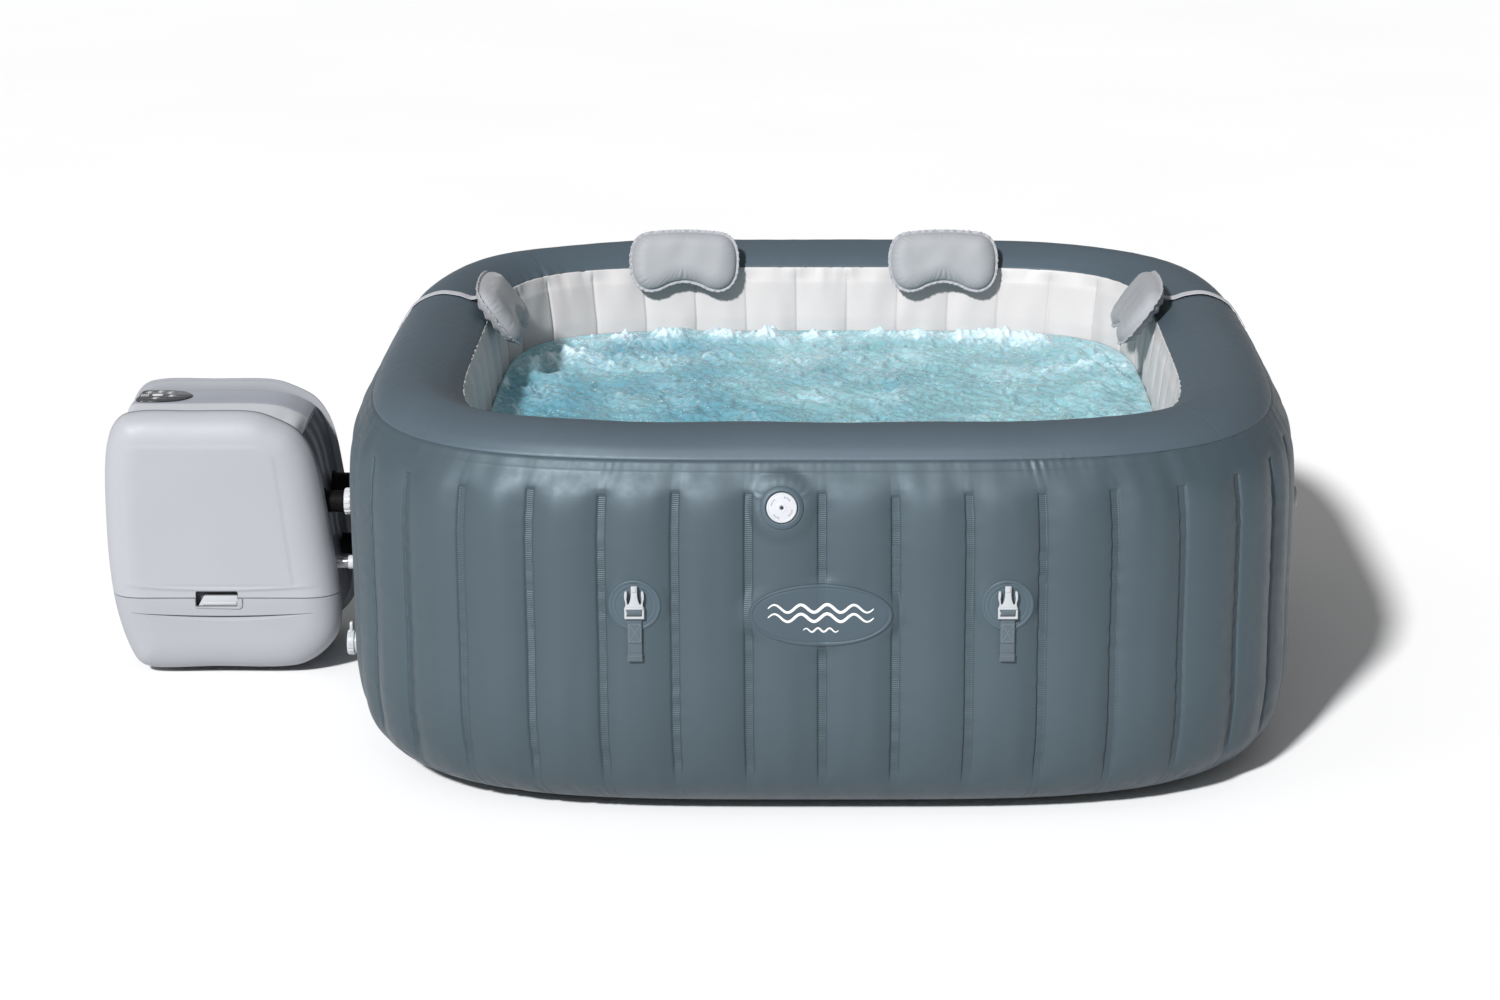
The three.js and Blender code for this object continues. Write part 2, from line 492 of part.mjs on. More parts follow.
// Console bar lying in the channel on top, its right end following the corner down.
{
  const stations = [[-1402, 525, 497], [-1300, 525, 497], [-1124, 524, 497], [-1083, 517, 497], [-1052, 503, 497.3], [-1039, 493, 482]];
  const rows = stations.map(([x, top, low]) => [[-50, low], [187, low], [187, top - 5], [170, top], [74, top],
    [12, Math.max(low + 3, top - 16)], [-50, Math.max(low + 2, top - 18)]].map(([y, z]) => [x, y, z]));
  piece(pump, 'console_bar', loft(rows), 'console_grey');
}
const KEYS = { power: [-1351, 100], heat: [-1371, 146], filter: [-1349, 152], bubbles: [-1328, 144], jets: [-1321, 119] };
piece(pump, 'control_panel', plate([[-1397, 78], [-1330, 78], [-1296, 90], [-1279, 121], [-1294, 151], [-1330, 164], [-1394, 164]],
  3, 'xy', Object.values(KEYS).map(([x, y]) => circle(5.2, 10, x, y).reverse())), 'panel_black', [0, 0, PANEL_Z]);
for (const [name, [x, y]] of Object.entries(KEYS)) {
  piece(pump, `key_${name}`, plate(circle(4.6, 10), 2.4), 'key_white', [x, y, PANEL_Z + 1.4]);
}

// Works inside the pump.
piece(pump, 'circulation_motor', turned([[0, 0], [44, 0], [44, 140], [58, 140], [58, 184], [50, 184], [50, 146], [0, 146]], 16, 'x'),
  'motor_black', [-1330, 66, 92]);
function vanes(outer, inner, count, height) {
  const pts = [];
  for (let i = 0; i < count; i++) {
    const t = (2 * Math.PI * i) / count, s = (2 * Math.PI) / count;
    pts.push([inner * Math.cos(t), inner * Math.sin(t)], [outer * Math.cos(t + 0.35 * s), outer * Math.sin(t + 0.35 * s)],
      [outer * Math.cos(t + 0.62 * s), outer * Math.sin(t + 0.62 * s)]);
  }
  return plate(pts, height);
}
{
  const g = vanes(44, 18, 6, 22);
  g.rotateY(Math.PI / 2);
  piece(pump, 'pump_impeller', clean(g), 'light_plastic', [-1178, 66, 92]);
}
piece(pump, 'heater_tube', turned([[22, 0], [27, 0], [27, 250], [22, 250], [22, 0]], 16, 'x'), 'steel', [-1360, 140, 215]);
piece(pump, 'air_blower', turned([[0, 0], [72, 0], [72, 80], [66, 80], [66, 6], [0, 6]], 18, 'z'), 'motor_black', [-1300, 50, 290]);
piece(pump, 'blower_fan', vanes(58, 24, 8, 40), 'light_plastic', [-1300, 50, 302]);
piece(pump, 'circuit_board', block(-1180, -1040, 160, 162.4, 330, 440), 'board_green');

export default spa;
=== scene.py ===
"""Looks of the inflatable hot tub and its pump unit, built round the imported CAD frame."""

import math

import bmesh
import bpy
import numpy as np
from mathutils import Matrix, Vector
from mathutils.bvhtree import BVHTree
from mathutils.geometry import barycentric_transform


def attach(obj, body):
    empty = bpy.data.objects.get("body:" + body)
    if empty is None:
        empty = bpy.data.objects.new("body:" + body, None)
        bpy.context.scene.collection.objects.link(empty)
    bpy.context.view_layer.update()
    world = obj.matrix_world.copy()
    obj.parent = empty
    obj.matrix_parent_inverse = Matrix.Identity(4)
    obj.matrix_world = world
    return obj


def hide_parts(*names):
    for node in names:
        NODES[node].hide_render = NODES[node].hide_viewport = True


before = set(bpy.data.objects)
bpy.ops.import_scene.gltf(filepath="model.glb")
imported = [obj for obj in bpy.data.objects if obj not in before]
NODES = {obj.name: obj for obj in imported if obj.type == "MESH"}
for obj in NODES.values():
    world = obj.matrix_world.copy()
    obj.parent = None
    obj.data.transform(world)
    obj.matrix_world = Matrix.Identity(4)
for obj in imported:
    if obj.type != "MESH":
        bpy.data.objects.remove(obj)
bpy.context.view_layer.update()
scene = bpy.context.scene
MM = 0.001
PI = math.pi

# ------------------------------------------------------------------ camera
cam_data = bpy.data.cameras.new("camera")
cam_data.sensor_width = 36.0
cam_data.lens = 81.33
cam_data.shift_x = -0.048
cam_data.clip_start, cam_data.clip_end = 0.1, 100.0
cam = bpy.data.objects.new("camera", cam_data)
scene.collection.objects.link(cam)
cam.location = (0.0, -6.547, 2.268)
cam.rotation_euler = (math.radians(73.61), 0.0, 0.0)
scene.camera = cam
scene.view_settings.view_transform = "Standard"


# --------------------------------------------------------------- small tools
def lin(*c):
    """sRGB 0-255 to linear."""
    out = []
    for v in c:
        v = v / 255.0
        out.append(v / 12.92 if v <= 0.04045 else ((v + 0.055) / 1.055) ** 2.4)
    return tuple(out)


def ease(t):
    t = np.clip(t, 0.0, 1.0)
    return t * t * (3 - 2 * t)


def ramp(x, a, b):
    """0 at a, 1 at b, smooth between."""
    return ease((np.asarray(x, float) - a) / (b - a))


def waves(f, z, kf, kz, n, seed):
    """Smooth noise of unit spread. f runs 0-1 round a closed line; z is a length."""
    g = np.random.default_rng(seed)
    out = 0.0
    for _ in range(n):
        a = int(g.integers(kf[0], kf[1] + 1))
        b = g.uniform(*kz) * g.choice([-1, 1])
        out = out + np.cos(2 * PI * (a * f + b * z) + g.uniform(0, 2 * PI))
    return out * math.sqrt(2.0 / n)


def noise2(x, y, lo, hi, n, seed):
    """Smooth plane noise of unit spread, wavelengths lo to hi."""
    g = np.random.default_rng(seed)
    out = 0.0
    for _ in range(n):
        a, k = g.uniform(0, 2 * PI), 2 * PI / math.exp(g.uniform(math.log(lo), math.log(hi)))
        out = out + np.cos(k * (math.cos(a) * x + math.sin(a) * y) + g.uniform(0, 2 * PI))
    return out * math.sqrt(2.0 / n)


def spline(points, per=24, closed=False):
    """Centripetal Catmull-Rom through points, `per` samples a segment."""
    p = np.asarray(points, float)
    if closed:
        q = np.vstack([p[-1], p, p[0], p[1]])
    else:
        q = np.vstack([2 * p[0] - p[1], p, 2 * p[-1] - p[-2]])
    out = []
    for i in range(len(q) - 3):
        a, b, c, d = q[i:i + 4]
        t0 = 0.0
        t1 = t0 + math.sqrt(np.linalg.norm(b - a)) + 1e-9
        t2 = t1 + math.sqrt(np.linalg.norm(c - b)) + 1e-9
        t3 = t2 + math.sqrt(np.linalg.norm(d - c)) + 1e-9
        t = np.linspace(t1, t2, per, endpoint=False)[:, None]
        A1 = (t1 - t) / (t1 - t0) * a + (t - t0) / (t1 - t0) * b
        A2 = (t2 - t) / (t2 - t1) * b + (t - t1) / (t2 - t1) * c
        A3 = (t3 - t) / (t3 - t2) * c + (t - t2) / (t3 - t2) * d
        B1 = (t2 - t) / (t2 - t0) * A1 + (t - t0) / (t2 - t0) * A2
        B2 = (t3 - t) / (t3 - t1) * A2 + (t - t1) / (t3 - t1) * A3
        out.append((t2 - t) / (t2 - t1) * B1 + (t - t1) / (t2 - t1) * B2)
    out = np.vstack(out)
    return out if closed else np.vstack([out, p[-1]])


def resample(path, n, closed=False):
    """n points at equal steps along a dense path."""
    p = np.asarray(path, float)
    if closed:
        p = np.vstack([p, p[0]])
    s = np.concatenate([[0], np.cumsum(np.linalg.norm(np.diff(p, axis=0), axis=1))])
    t = np.linspace(0, s[-1], n, endpoint=not closed)
    return np.stack([np.interp(t, s, p[:, k]) for k in range(p.shape[1])], 1)


def fillet(points, radius, n=4, closed=True):
    """Rounds the corners of a polyline."""
    p = [np.asarray(q, float) for q in points]
    out, m = [], len(p)
    for i in range(m):
        if not closed and i in (0, m - 1):
            out.append(p[i])
            continue
        a, b, c = p[i - 1], p[i], p[(i + 1) % m]
        la, lc = np.linalg.norm(a - b), np.linalg.norm(c - b)
        r = radius[i] if isinstance(radius, (list, tuple)) else radius
        r = min(r, la * 0.48, lc * 0.48)
        if r <= 1e-9:
            out.append(b)
            continue
        s, e = b + (a - b) / la * r, b + (c - b) / lc * r
        for t in np.linspace(0, 1, n + 1):
            out.append((1 - t) ** 2 * s + 2 * t * (1 - t) * b + t * t * e)
    return np.array(out)


def grid_faces(nr, nc, close_c=True, close_r=False, flip=False):
    r = np.arange(nr if close_r else nr - 1)
    c = np.arange(nc if close_c else nc - 1)
    R, C = np.meshgrid(r, c, indexing="ij")
    R2, C2 = (R + 1) % nr, (C + 1) % nc
    q = np.stack([R * nc + C, R * nc + C2, R2 * nc + C2, R2 * nc + C], -1).reshape(-1, 4)
    return q[:, ::-1] if flip else q


def mesh_piece(name, verts, faces, mat, body, cad=(), smooth=True, angle=None,
               attrs=None, doubles=0.0, outward=True):
    """A new piece from points in metres, riding a body."""
    me = bpy.data.meshes.new("v_" + name)
    v = np.asarray(verts, float)
    me.from_pydata(v.tolist(), [], faces.tolist() if isinstance(faces, np.ndarray) else faces)
    if attrs:
        for key, val in attrs.items():
            a = me.attributes.new(key, "FLOAT", "POINT")
            a.data.foreach_set("value", np.asarray(val, np.float32).ravel())
    if doubles or outward:
        bm = bmesh.new()
        bm.from_mesh(me)
        if doubles:
            bmesh.ops.remove_doubles(bm, verts=bm.verts, dist=doubles)
        if outward:
            bmesh.ops.recalc_face_normals(bm, faces=bm.faces)
        bm.to_mesh(me)
        bm.free()
    me.update()
    o = bpy.data.objects.new("v_" + name, me)
    scene.collection.objects.link(o)
    return finish_piece(o, mat, body, cad, smooth, angle)


def finish_piece(o, mat, body, cad=(), smooth=True, angle=None):
    me = o.data
    me.materials.clear()
    me.materials.append(mat)
    me.polygons.foreach_set("use_smooth", [bool(smooth)] * len(me.polygons))
    if smooth and angle:
        me.set_sharp_from_angle(angle=math.radians(angle))
    me.update()
    if cad:
        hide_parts(*([cad] if isinstance(cad, str) else cad))
    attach(o, body)
    return o


def apply_modifiers(o):
    """The evaluated mesh becomes the object's own mesh."""
    dg = bpy.context.evaluated_depsgraph_get()
    me = bpy.data.meshes.new_from_object(o.evaluated_get(dg))
    old = o.data
    o.modifiers.clear()
    o.data = me
    if old.users == 0:
        bpy.data.meshes.remove(old)
    return o


def bevel(o, width, segments=2, angle=30, profile=0.6):
    m = o.modifiers.new("bevel", "BEVEL")
    m.width, m.segments, m.limit_method = width, segments, "ANGLE"
    m.angle_limit, m.profile = math.radians(angle), profile
    m.harden_normals = False
    return o


def revolve_points(profile, segs, mod=None):
    """Rows of (r, h) turned about +Z of a local frame. Returns verts, faces."""
    t = np.linspace(0, 2 * PI, segs, endpoint=False)
    rows = []
    for r, h in profile:
        rr = np.full(segs, float(r))
        if mod is not None:
            rr = mod(t, rr, h)
        rows.append(np.stack([rr * np.cos(t), rr * np.sin(t), np.full(segs, float(h))], 1))
    return np.vstack(rows)


AXES = {
    "+x": Matrix(((0, 0, 1), (0, 1, 0), (-1, 0, 0))),
    "-x": Matrix(((0, 0, -1), (0, 1, 0), (1, 0, 0))),
    "-y": Matrix(((1, 0, 0), (0, 0, -1), (0, 1, 0))),
    "+y": Matrix(((1, 0, 0), (0, 0, 1), (0, -1, 0))),
    "+z": Matrix.Identity(3),
}


def place(v, axis, origin, tilt=0.0):
    m = np.array(AXES[axis] if isinstance(axis, str) else axis)
    w = v @ m.T
    if tilt:
        c, s = math.cos(tilt), math.sin(tilt)
        w = w @ np.array([[1, 0, 0], [0, c, -s], [0, s, c]]).T
    return w + np.asarray(origin, float)


def turned(name, profile, mat, axis, origin, body, cad=(), segs=96, closed=False,
           mod=None, tilt=0.0, round_r=0.5, angle=40):
    """Turned piece in millimetres: profile of (radius, height along the axis)."""
    prof = fillet(profile, round_r, 3, closed) if round_r else np.asarray(profile, float)
    v = revolve_points(prof, segs, mod)
    f = grid_faces(len(prof), segs, True, closed)
    w = place(v, axis, origin, tilt) * MM
    return mesh_piece(name, w, f, mat, body, cad, True, angle, doubles=1e-6)


def flat_piece(name, loops, thickness, edge, mat, to_world, body, cad=(), angle=35, res=2):
    """Plate with rounded edges and holes, from closed outlines in millimetres.
    to_world maps (u, v, w) rows, w from 0 at the back to thickness at the front, into millimetres."""
    cu = bpy.data.curves.new("tmp", "CURVE")
    cu.dimensions = "2D"
    cu.fill_mode = "BOTH"
    cu.extrude = max(thickness / 2 - edge, 0.001)
    cu.bevel_depth = edge
    cu.bevel_resolution = res
    cu.offset = -edge
    for loop in loops:
        sp = cu.splines.new("POLY")
        sp.points.add(len(loop) - 1)
        for i, (x, y) in enumerate(loop):
            sp.points[i].co = (x, y, 0, 1)
        sp.use_cyclic_u = True
    o = bpy.data.objects.new("tmp", cu)
    scene.collection.objects.link(o)
    dg = bpy.context.evaluated_depsgraph_get()
    me = bpy.data.meshes.new_from_object(o.evaluated_get(dg))
    bpy.data.objects.remove(o)
    bpy.data.curves.remove(cu)
    bm = bmesh.new()
    bm.from_mesh(me)
    bmesh.ops.remove_doubles(bm, verts=bm.verts, dist=1e-4)
    bmesh.ops.dissolve_degenerate(bm, edges=bm.edges, dist=1e-4)
    v = np.array([q.co[:] for q in bm.verts])
    v[:, 2] += thickness / 2
    w = to_world(v) * MM
    for q, c in zip(bm.verts, w):
        q.co = c
    bmesh.ops.recalc_face_normals(bm, faces=bm.faces)
    bm.to_mesh(me)
    bm.free()
    me.name = "v_" + name
    o = bpy.data.objects.new("v_" + name, me)
    scene.collection.objects.link(o)
    return finish_piece(o, mat, body, cad, True, angle)


def join_pieces(main, *others):
    """Merges the meshes of others into main."""
    bm = bmesh.new()
    bm.from_mesh(main.data)
    for o in others:
        bm.from_mesh(o.data)
        me = o.data
        bpy.data.objects.remove(o)
        bpy.data.meshes.remove(me)
    bm.to_mesh(main.data)
    bm.free()
    main.data.update()
    return main


def steady_normals(o, ref, limit=0.0002):
    """Corners that lie on the uncut face take its smooth normals; the cut walls keep their own."""
    me = ref
    me.calc_loop_triangles()
    tris = [tuple(t.vertices) for t in me.loop_triangles]
    co = [v.co.copy() for v in me.vertices]
    no = [v.normal.copy() for v in me.vertices]
    tree = BVHTree.FromPolygons(co, tris)
    data = o.data
    own = [Vector(c.vector) for c in data.corner_normals]
    for p in data.polygons:
        hit, n, i, d = tree.find_nearest(p.center)
        if hit is None or d > limit * 3 or n.dot(p.normal) < 0.9:
            continue
        for li in p.loop_indices:
            q = data.vertices[data.loops[li].vertex_index].co
            hit, n, i, d = tree.find_nearest(q)
            if hit is None or d > limit:
                continue
            a, b, c = tris[i]
            w = barycentric_transform(hit, co[a], co[b], co[c], no[a], no[b], no[c])
            if w.length > 0.5:
                own[li] = w.normalized()
    data.normals_split_custom_set([tuple(v) for v in own])


def boolean(o, cutter, op="DIFFERENCE"):
    m = o.modifiers.new("cut", "BOOLEAN")
    m.object, m.operation, m.solver = cutter, op, "EXACT"
    apply_modifiers(o)
    me = cutter.data
    bpy.data.objects.remove(cutter)
    bpy.data.meshes.remove(me)
    return o


def loose(name, verts, faces):
    """A bare mesh object, used as a cutter."""
    me = bpy.data.meshes.new(name)
    me.from_pydata(np.asarray(verts).tolist(), [], faces.tolist() if isinstance(faces, np.ndarray) else faces)
    bm = bmesh.new()
    bm.from_mesh(me)
    bmesh.ops.remove_doubles(bm, verts=bm.verts, dist=1e-6)
    bmesh.ops.recalc_face_normals(bm, faces=bm.faces)
    bm.to_mesh(me)
    bm.free()
    o = bpy.data.objects.new(name, me)
    scene.collection.objects.link(o)
    return o


def tube_points(path, section, up=None):
    """Sweeps a closed section (offset along side, offset along lift) on a 3-D path. Rows of points."""
    p = np.asarray(path, float)
    t = np.gradient(p, axis=0)
    t /= np.linalg.norm(t, axis=1)[:, None]
    up = np.broadcast_to(np.asarray(up, float), p.shape)
    side = np.cross(t, up)
    side /= np.linalg.norm(side, axis=1)[:, None]
    lift = np.cross(side, t)
    sec = np.asarray(section, float)
    return (p[:, None, :] + sec[None, :, 0, None] * side[:, None, :] + sec[None, :, 1, None] * lift[:, None, :])


def swept(rows):
    """Verts and faces of a capped sweep."""
    nr, nc, _ = rows.shape
    v = rows.reshape(-1, 3)
    f = grid_faces(nr, nc).tolist()
    f.append(list(range(nc))[::-1])
    f.append([(nr - 1) * nc + i for i in range(nc)])
    return v, f


def oval(a, b, n, power=2.0, cx=0.0, cy=0.0):
    t = np.linspace(0, 2 * PI, n, endpoint=False)
    c, s = np.cos(t), np.sin(t)
    return np.stack([cx + a * np.sign(c) * np.abs(c) ** (2 / power), cy + b * np.sign(s) * np.abs(s) ** (2 / power)], 1)


# ---------------------------------------------------------------- materials
class Nodes:
    """Short-hand for building a node tree."""

    def __init__(self, name):
        self.m = bpy.data.materials.new(name)
        self.m.use_nodes = True
        self.t = self.m.node_tree
        self.t.nodes.clear()
        self.out = self.t.nodes.new("ShaderNodeOutputMaterial")
        self.bsdf = self.t.nodes.new("ShaderNodeBsdfPrincipled")
        self.t.links.new(self.bsdf.outputs[0], self.out.inputs["Surface"])
        self.coord = self.t.nodes.new("ShaderNodeTexCoord").outputs["Object"]
        self.normal = None

    def link(self, a, b):
        self.t.links.new(a, b)

    def set(self, node, key, value):
        if hasattr(value, "is_linked") or isinstance(value, bpy.types.NodeSocket):
            self.link(value, node.inputs[key])
        else:
            node.inputs[key].default_value = value

    def math(self, op, a, b=0.0, c=None, clamp=False):
        n = self.t.nodes.new("ShaderNodeMath")
        n.operation, n.use_clamp = op, clamp
        self.set(n, 0, a)
        self.set(n, 1, b)
        if c is not None:
            self.set(n, 2, c)
        return n.outputs[0]

    def scaled(self, sx, sy, sz, vec=None):
        n = self.t.nodes.new("ShaderNodeMapping")
        self.link(vec or self.coord, n.inputs["Vector"])
        n.inputs["Scale"].default_value = (sx, sy, sz)
        return n.outputs[0]

    def noise(self, scale, detail=3.0, rough=0.5, vec=None, distortion=0.0):
        n = self.t.nodes.new("ShaderNodeTexNoise")
        self.link(vec or self.coord, n.inputs["Vector"])
        n.inputs["Scale"].default_value = scale
        n.inputs["Detail"].default_value = detail
        n.inputs["Roughness"].default_value = rough
        n.inputs["Distortion"].default_value = distortion
        return n.outputs["Fac"]

    def voronoi(self, scale, feature="F1", vec=None, randomness=1.0, out="Distance"):
        n = self.t.nodes.new("ShaderNodeTexVoronoi")
        n.feature = feature
        self.link(vec or self.coord, n.inputs["Vector"])
        n.inputs["Scale"].default_value = scale
        n.inputs["Randomness"].default_value = randomness
        return n.outputs[out]

    def range(self, v, a, b, c, d, smooth=False):
        n = self.t.nodes.new("ShaderNodeMapRange")
        if smooth:
            n.interpolation_type = "SMOOTHSTEP"
        self.link(v, n.inputs[0])
        for i, x in enumerate((a, b, c, d)):
            n.inputs[1 + i].default_value = x
        return n.outputs[0]

    def mix(self, fac, a, b):
        n = self.t.nodes.new("ShaderNodeMix")
        n.data_type = "RGBA"
        self.set(n, 0, fac)
        for key, val in ((6, a), (7, b)):
            if isinstance(val, tuple):
                n.inputs[key].default_value = (*val[:3], 1.0)
            else:
                self.link(val, n.inputs[key])
        return n.outputs[2]

    def attr(self, name):
        n = self.t.nodes.new("ShaderNodeAttribute")
        n.attribute_name = name
        return n.outputs["Fac"]

    def xyz(self, vec=None):
        n = self.t.nodes.new("ShaderNodeSeparateXYZ")
        self.link(vec or self.coord, n.inputs[0])
        return n.outputs

    def bump(self, height, strength, distance):
        n = self.t.nodes.new("ShaderNodeBump")
        n.inputs["Strength"].default_value = strength
        n.inputs["Distance"].default_value = distance
        self.link(height, n.inputs["Height"])
        if self.normal is not None:
            self.link(self.normal, n.inputs["Normal"])
        self.normal = n.outputs[0]

    def done(self, color, rough, metal=0.0, spec=0.5, **extra):
        b = self.bsdf
        if isinstance(color, tuple):
            b.inputs["Base Color"].default_value = (*color[:3], 1.0)
        else:
            self.link(color, b.inputs["Base Color"])
        self.set(b, "Roughness", rough)
        b.inputs["Metallic"].default_value = metal
        b.inputs["Specular IOR Level"].default_value = spec
        for key, val in extra.items():
            b.inputs[key.replace("_", " ")].default_value = val
        if self.normal is not None:
            self.link(self.normal, b.inputs["Normal"])
        return self.m


def shade(c, k):
    return tuple(min(1.0, max(0.0, v * k)) for v in c)


def vinyl(name, color, rough=0.42, grain=1.0, hatch=False, var=0.07, spec=0.5, coat=0.0, tint=(1.0, 1.0, 1.0)):
    """Laminated vinyl: fine leathery grain, slow tone drift, sheen that varies a little."""
    n = Nodes(name)
    slow = n.noise(2.6, 4, 0.55)
    fine = n.noise(850, 2, 0.6)
    mid = n.noise(46, 3, 0.55)
    tone = n.math("ADD", n.range(slow, 0.3, 0.7, -1, 1), n.range(fine, 0.3, 0.7, -0.45, 0.45))
    col = n.mix(n.range(tone, -1.4, 1.4, 0, 1), shade(color, 1 - var), shade(color, 1 + var))
    n.bump(mid, 0.12, 0.0012)
    cells = n.voronoi(620, "SMOOTH_F1", randomness=1.0)
    n.bump(cells, 0.30 * grain, 0.00025)
    n.bump(fine, 0.22 * grain, 0.0002)
    if hatch:
        band = n.attr("band")
        zz = n.xyz()[2]
        line = n.math("SINE", n.math("MULTIPLY", zz, 2 * PI / 0.0036))
        n.bump(n.math("MULTIPLY", line, band), 0.55, 0.0005)
        col = n.mix(n.math("MULTIPLY", band, 0.22), col, shade(color, 0.72))
        # painted shade: the wall is darker towards the foot, standing in for the shade under the curve
        col = n.mix(n.range(zz, 0.02, 0.30, 0.62, 0.0, True), col, shade(color, 0.62))
    r = n.range(n.math("ADD", slow, mid), 0.7, 1.3, rough - 0.05, rough + 0.07)
    return n.done(col, r, spec=spec, Coat_Weight=coat, Coat_Roughness=0.35, Specular_Tint=(*tint, 1.0))


def plastic(name, color, rough=0.38, var=0.05, texture=420, bump=0.18, spec=0.5, coat=0.0, wear=0.0):
    """Moulded plastic: spark-eroded texture, faint tone and gloss drift."""
    n = Nodes(name)
    slow = n.noise(7, 4, 0.6)
    fine = n.noise(texture, 2, 0.5)
    col = n.mix(n.range(slow, 0.3, 0.7, 0, 1), shade(color, 1 - var), shade(color, 1 + var * 0.6))
    if wear:
        scuff = n.noise(60, 6, 0.7, distortion=0.6)
        col = n.mix(n.range(scuff, 0.62, 0.75, 0, wear), col, shade(color, 1.35))
    n.bump(fine, bump, 0.0002)
    r = n.range(n.math("ADD", slow, n.noise(120, 3, 0.5)), 0.7, 1.3, rough - 0.05, rough + 0.06)
    return n.done(col, r, spec=spec, Coat_Weight=coat, Coat_Roughness=0.12)


def webbing(name, color, pitch=0.0011, rough=0.75):
    """Woven strap: crossing threads."""
    n = Nodes(name)
    x, y, z = n.xyz()
    k = 2 * PI / pitch
    a = n.math("SINE", n.math("MULTIPLY", n.math("ADD", x, z), k))
    b = n.math("SINE", n.math("MULTIPLY", n.math("SUBTRACT", y, z), k))
    c = n.math("SINE", n.math("MULTIPLY", n.math("ADD", x, y), k))
    w = n.math("MULTIPLY", n.math("ADD", n.math("ADD", a, b), c), 0.333)
    n.bump(w, 0.6, 0.0004)
    n.bump(n.noise(900, 2, 0.5), 0.3, 0.0002)
    dirt = n.noise(22, 4, 0.6)
    col = n.mix(n.range(w, -0.8, 0.8, 0, 1), shade(color, 0.78), shade(color, 1.08))
    col = n.mix(n.range(dirt, 0.45, 0.7, 0, 0.18), col, shade(color, 0.8))
    return n.done(col, rough, spec=0.3, Sheen_Weight=0.15, Sheen_Roughness=0.5)


def fabric(name, color, rough=0.55):
    """Coated fabric of the pillows: tight weave under a soft film."""
    n = Nodes(name)
    slow = n.noise(14, 4, 0.6)
    x, y, z = n.xyz()
    k = 2 * PI / 0.0014
    a = n.math("SINE", n.math("MULTIPLY", n.math("ADD", x, y), k))
    b = n.math("SINE", n.math("MULTIPLY", n.math("SUBTRACT", z, n.math("MULTIPLY", y, 0.35)), k))
    w = n.math("MULTIPLY", a, b)
    n.bump(n.noise(70, 3, 0.6), 0.16, 0.001)
    n.bump(w, 0.25, 0.00025)
    fine = n.noise(1100, 2, 0.6)
    col = n.mix(n.range(slow, 0.3, 0.7, 0, 1), shade(color, 0.94), shade(color, 1.04))
    col = n.mix(n.range(fine, 0.35, 0.65, 0, 0.12), col, shade(color, 0.8))
    r = n.range(slow, 0.3, 0.7, rough - 0.06, rough + 0.06)
    return n.done(col, r, spec=0.4, Sheen_Weight=0.2, Sheen_Roughness=0.4)


def metal(name, color, rough=0.3):
    n = Nodes(name)
    brushed = n.noise(90, 4, 0.6, vec=n.scaled(0.08, 1, 1))
    n.bump(brushed, 0.15, 0.0003)
    col = n.mix(n.range(brushed, 0.3, 0.7, 0, 1), shade(color, 0.85), shade(color, 1.1))
    return n.done(col, n.range(brushed, 0.3, 0.7, rough - 0.08, rough + 0.1), metal=1.0)


def board(name):
    n = Nodes(name)
    tracks = n.voronoi(140, "DISTANCE_TO_EDGE", randomness=0.6)
    col = n.mix(n.range(tracks, 0.02, 0.05, 1, 0), lin(24, 74, 44), lin(70, 130, 84))
    n.bump(tracks, 0.4, 0.0004)
    return n.done(col, 0.35)


def stitch_mat(name, color):
    n = Nodes(name)
    t = n.noise(700, 2, 0.6)
    n.bump(t, 0.5, 0.0003)
    col = n.mix(t, shade(color, 0.8), shade(color, 1.15))
    return n.done(col, 0.7, spec=0.3)


def water_mat():
    """Churned water: blue body, glossy ripples, white foam where the air breaks through."""
    n = Nodes("water")
    foam = n.attr("foam")
    deep = n.attr("deep")
    slow = n.noise(5.5, 5, 0.6, distortion=0.8)
    fine = n.noise(95, 5, 0.65, distortion=0.6)
    cells = n.voronoi(75, "F1", randomness=1.0)
    body = n.mix(n.range(slow, 0.35, 0.65, 0, 1), lin(113, 152, 160), lin(130, 166, 172))
    body = n.mix(deep, body, lin(68, 123, 142))
    milk = n.range(n.math("ADD", foam, n.math("MULTIPLY", n.math("SUBTRACT", fine, 0.5), 0.35)), 0.1, 0.75, 0, 0.62, True)
    body = n.mix(milk, body, lin(172, 195, 202))
    lace = n.range(n.math("ADD", foam, n.math("MULTIPLY", n.math("SUBTRACT", fine, 0.5), 1.25)), 0.52, 0.95, 0, 1, True)
    col = n.mix(lace, body, lin(192, 206, 212))
    bead = n.voronoi(150, "F1", randomness=1.0)
    where = n.range(n.noise(30, 3, 0.6), 0.5, 0.62, 0, 0.75)
    col = n.mix(n.math("MULTIPLY", n.range(bead, 0.16, 0.24, 1, 0), where), col, lin(206, 220, 226))
    n.bump(n.noise(28, 4, 0.5, distortion=0.5), 0.28, 0.005)
    n.bump(cells, 0.15, 0.002)
    n.bump(fine, 0.14, 0.0012)
    r = n.range(lace, 0, 1, 0.12, 0.5)
    # painted light: a faint teal glow (emission) lifts the water where it lies in shadow
    return n.done(col, r, spec=0.6, IOR=1.33, Subsurface_Weight=0.5, Subsurface_Scale=0.06,
                  Coat_Weight=0.2, Coat_Roughness=0.06,
                  Emission_Color=(0.16, 0.36, 0.43, 1.0), Emission_Strength=0.15)


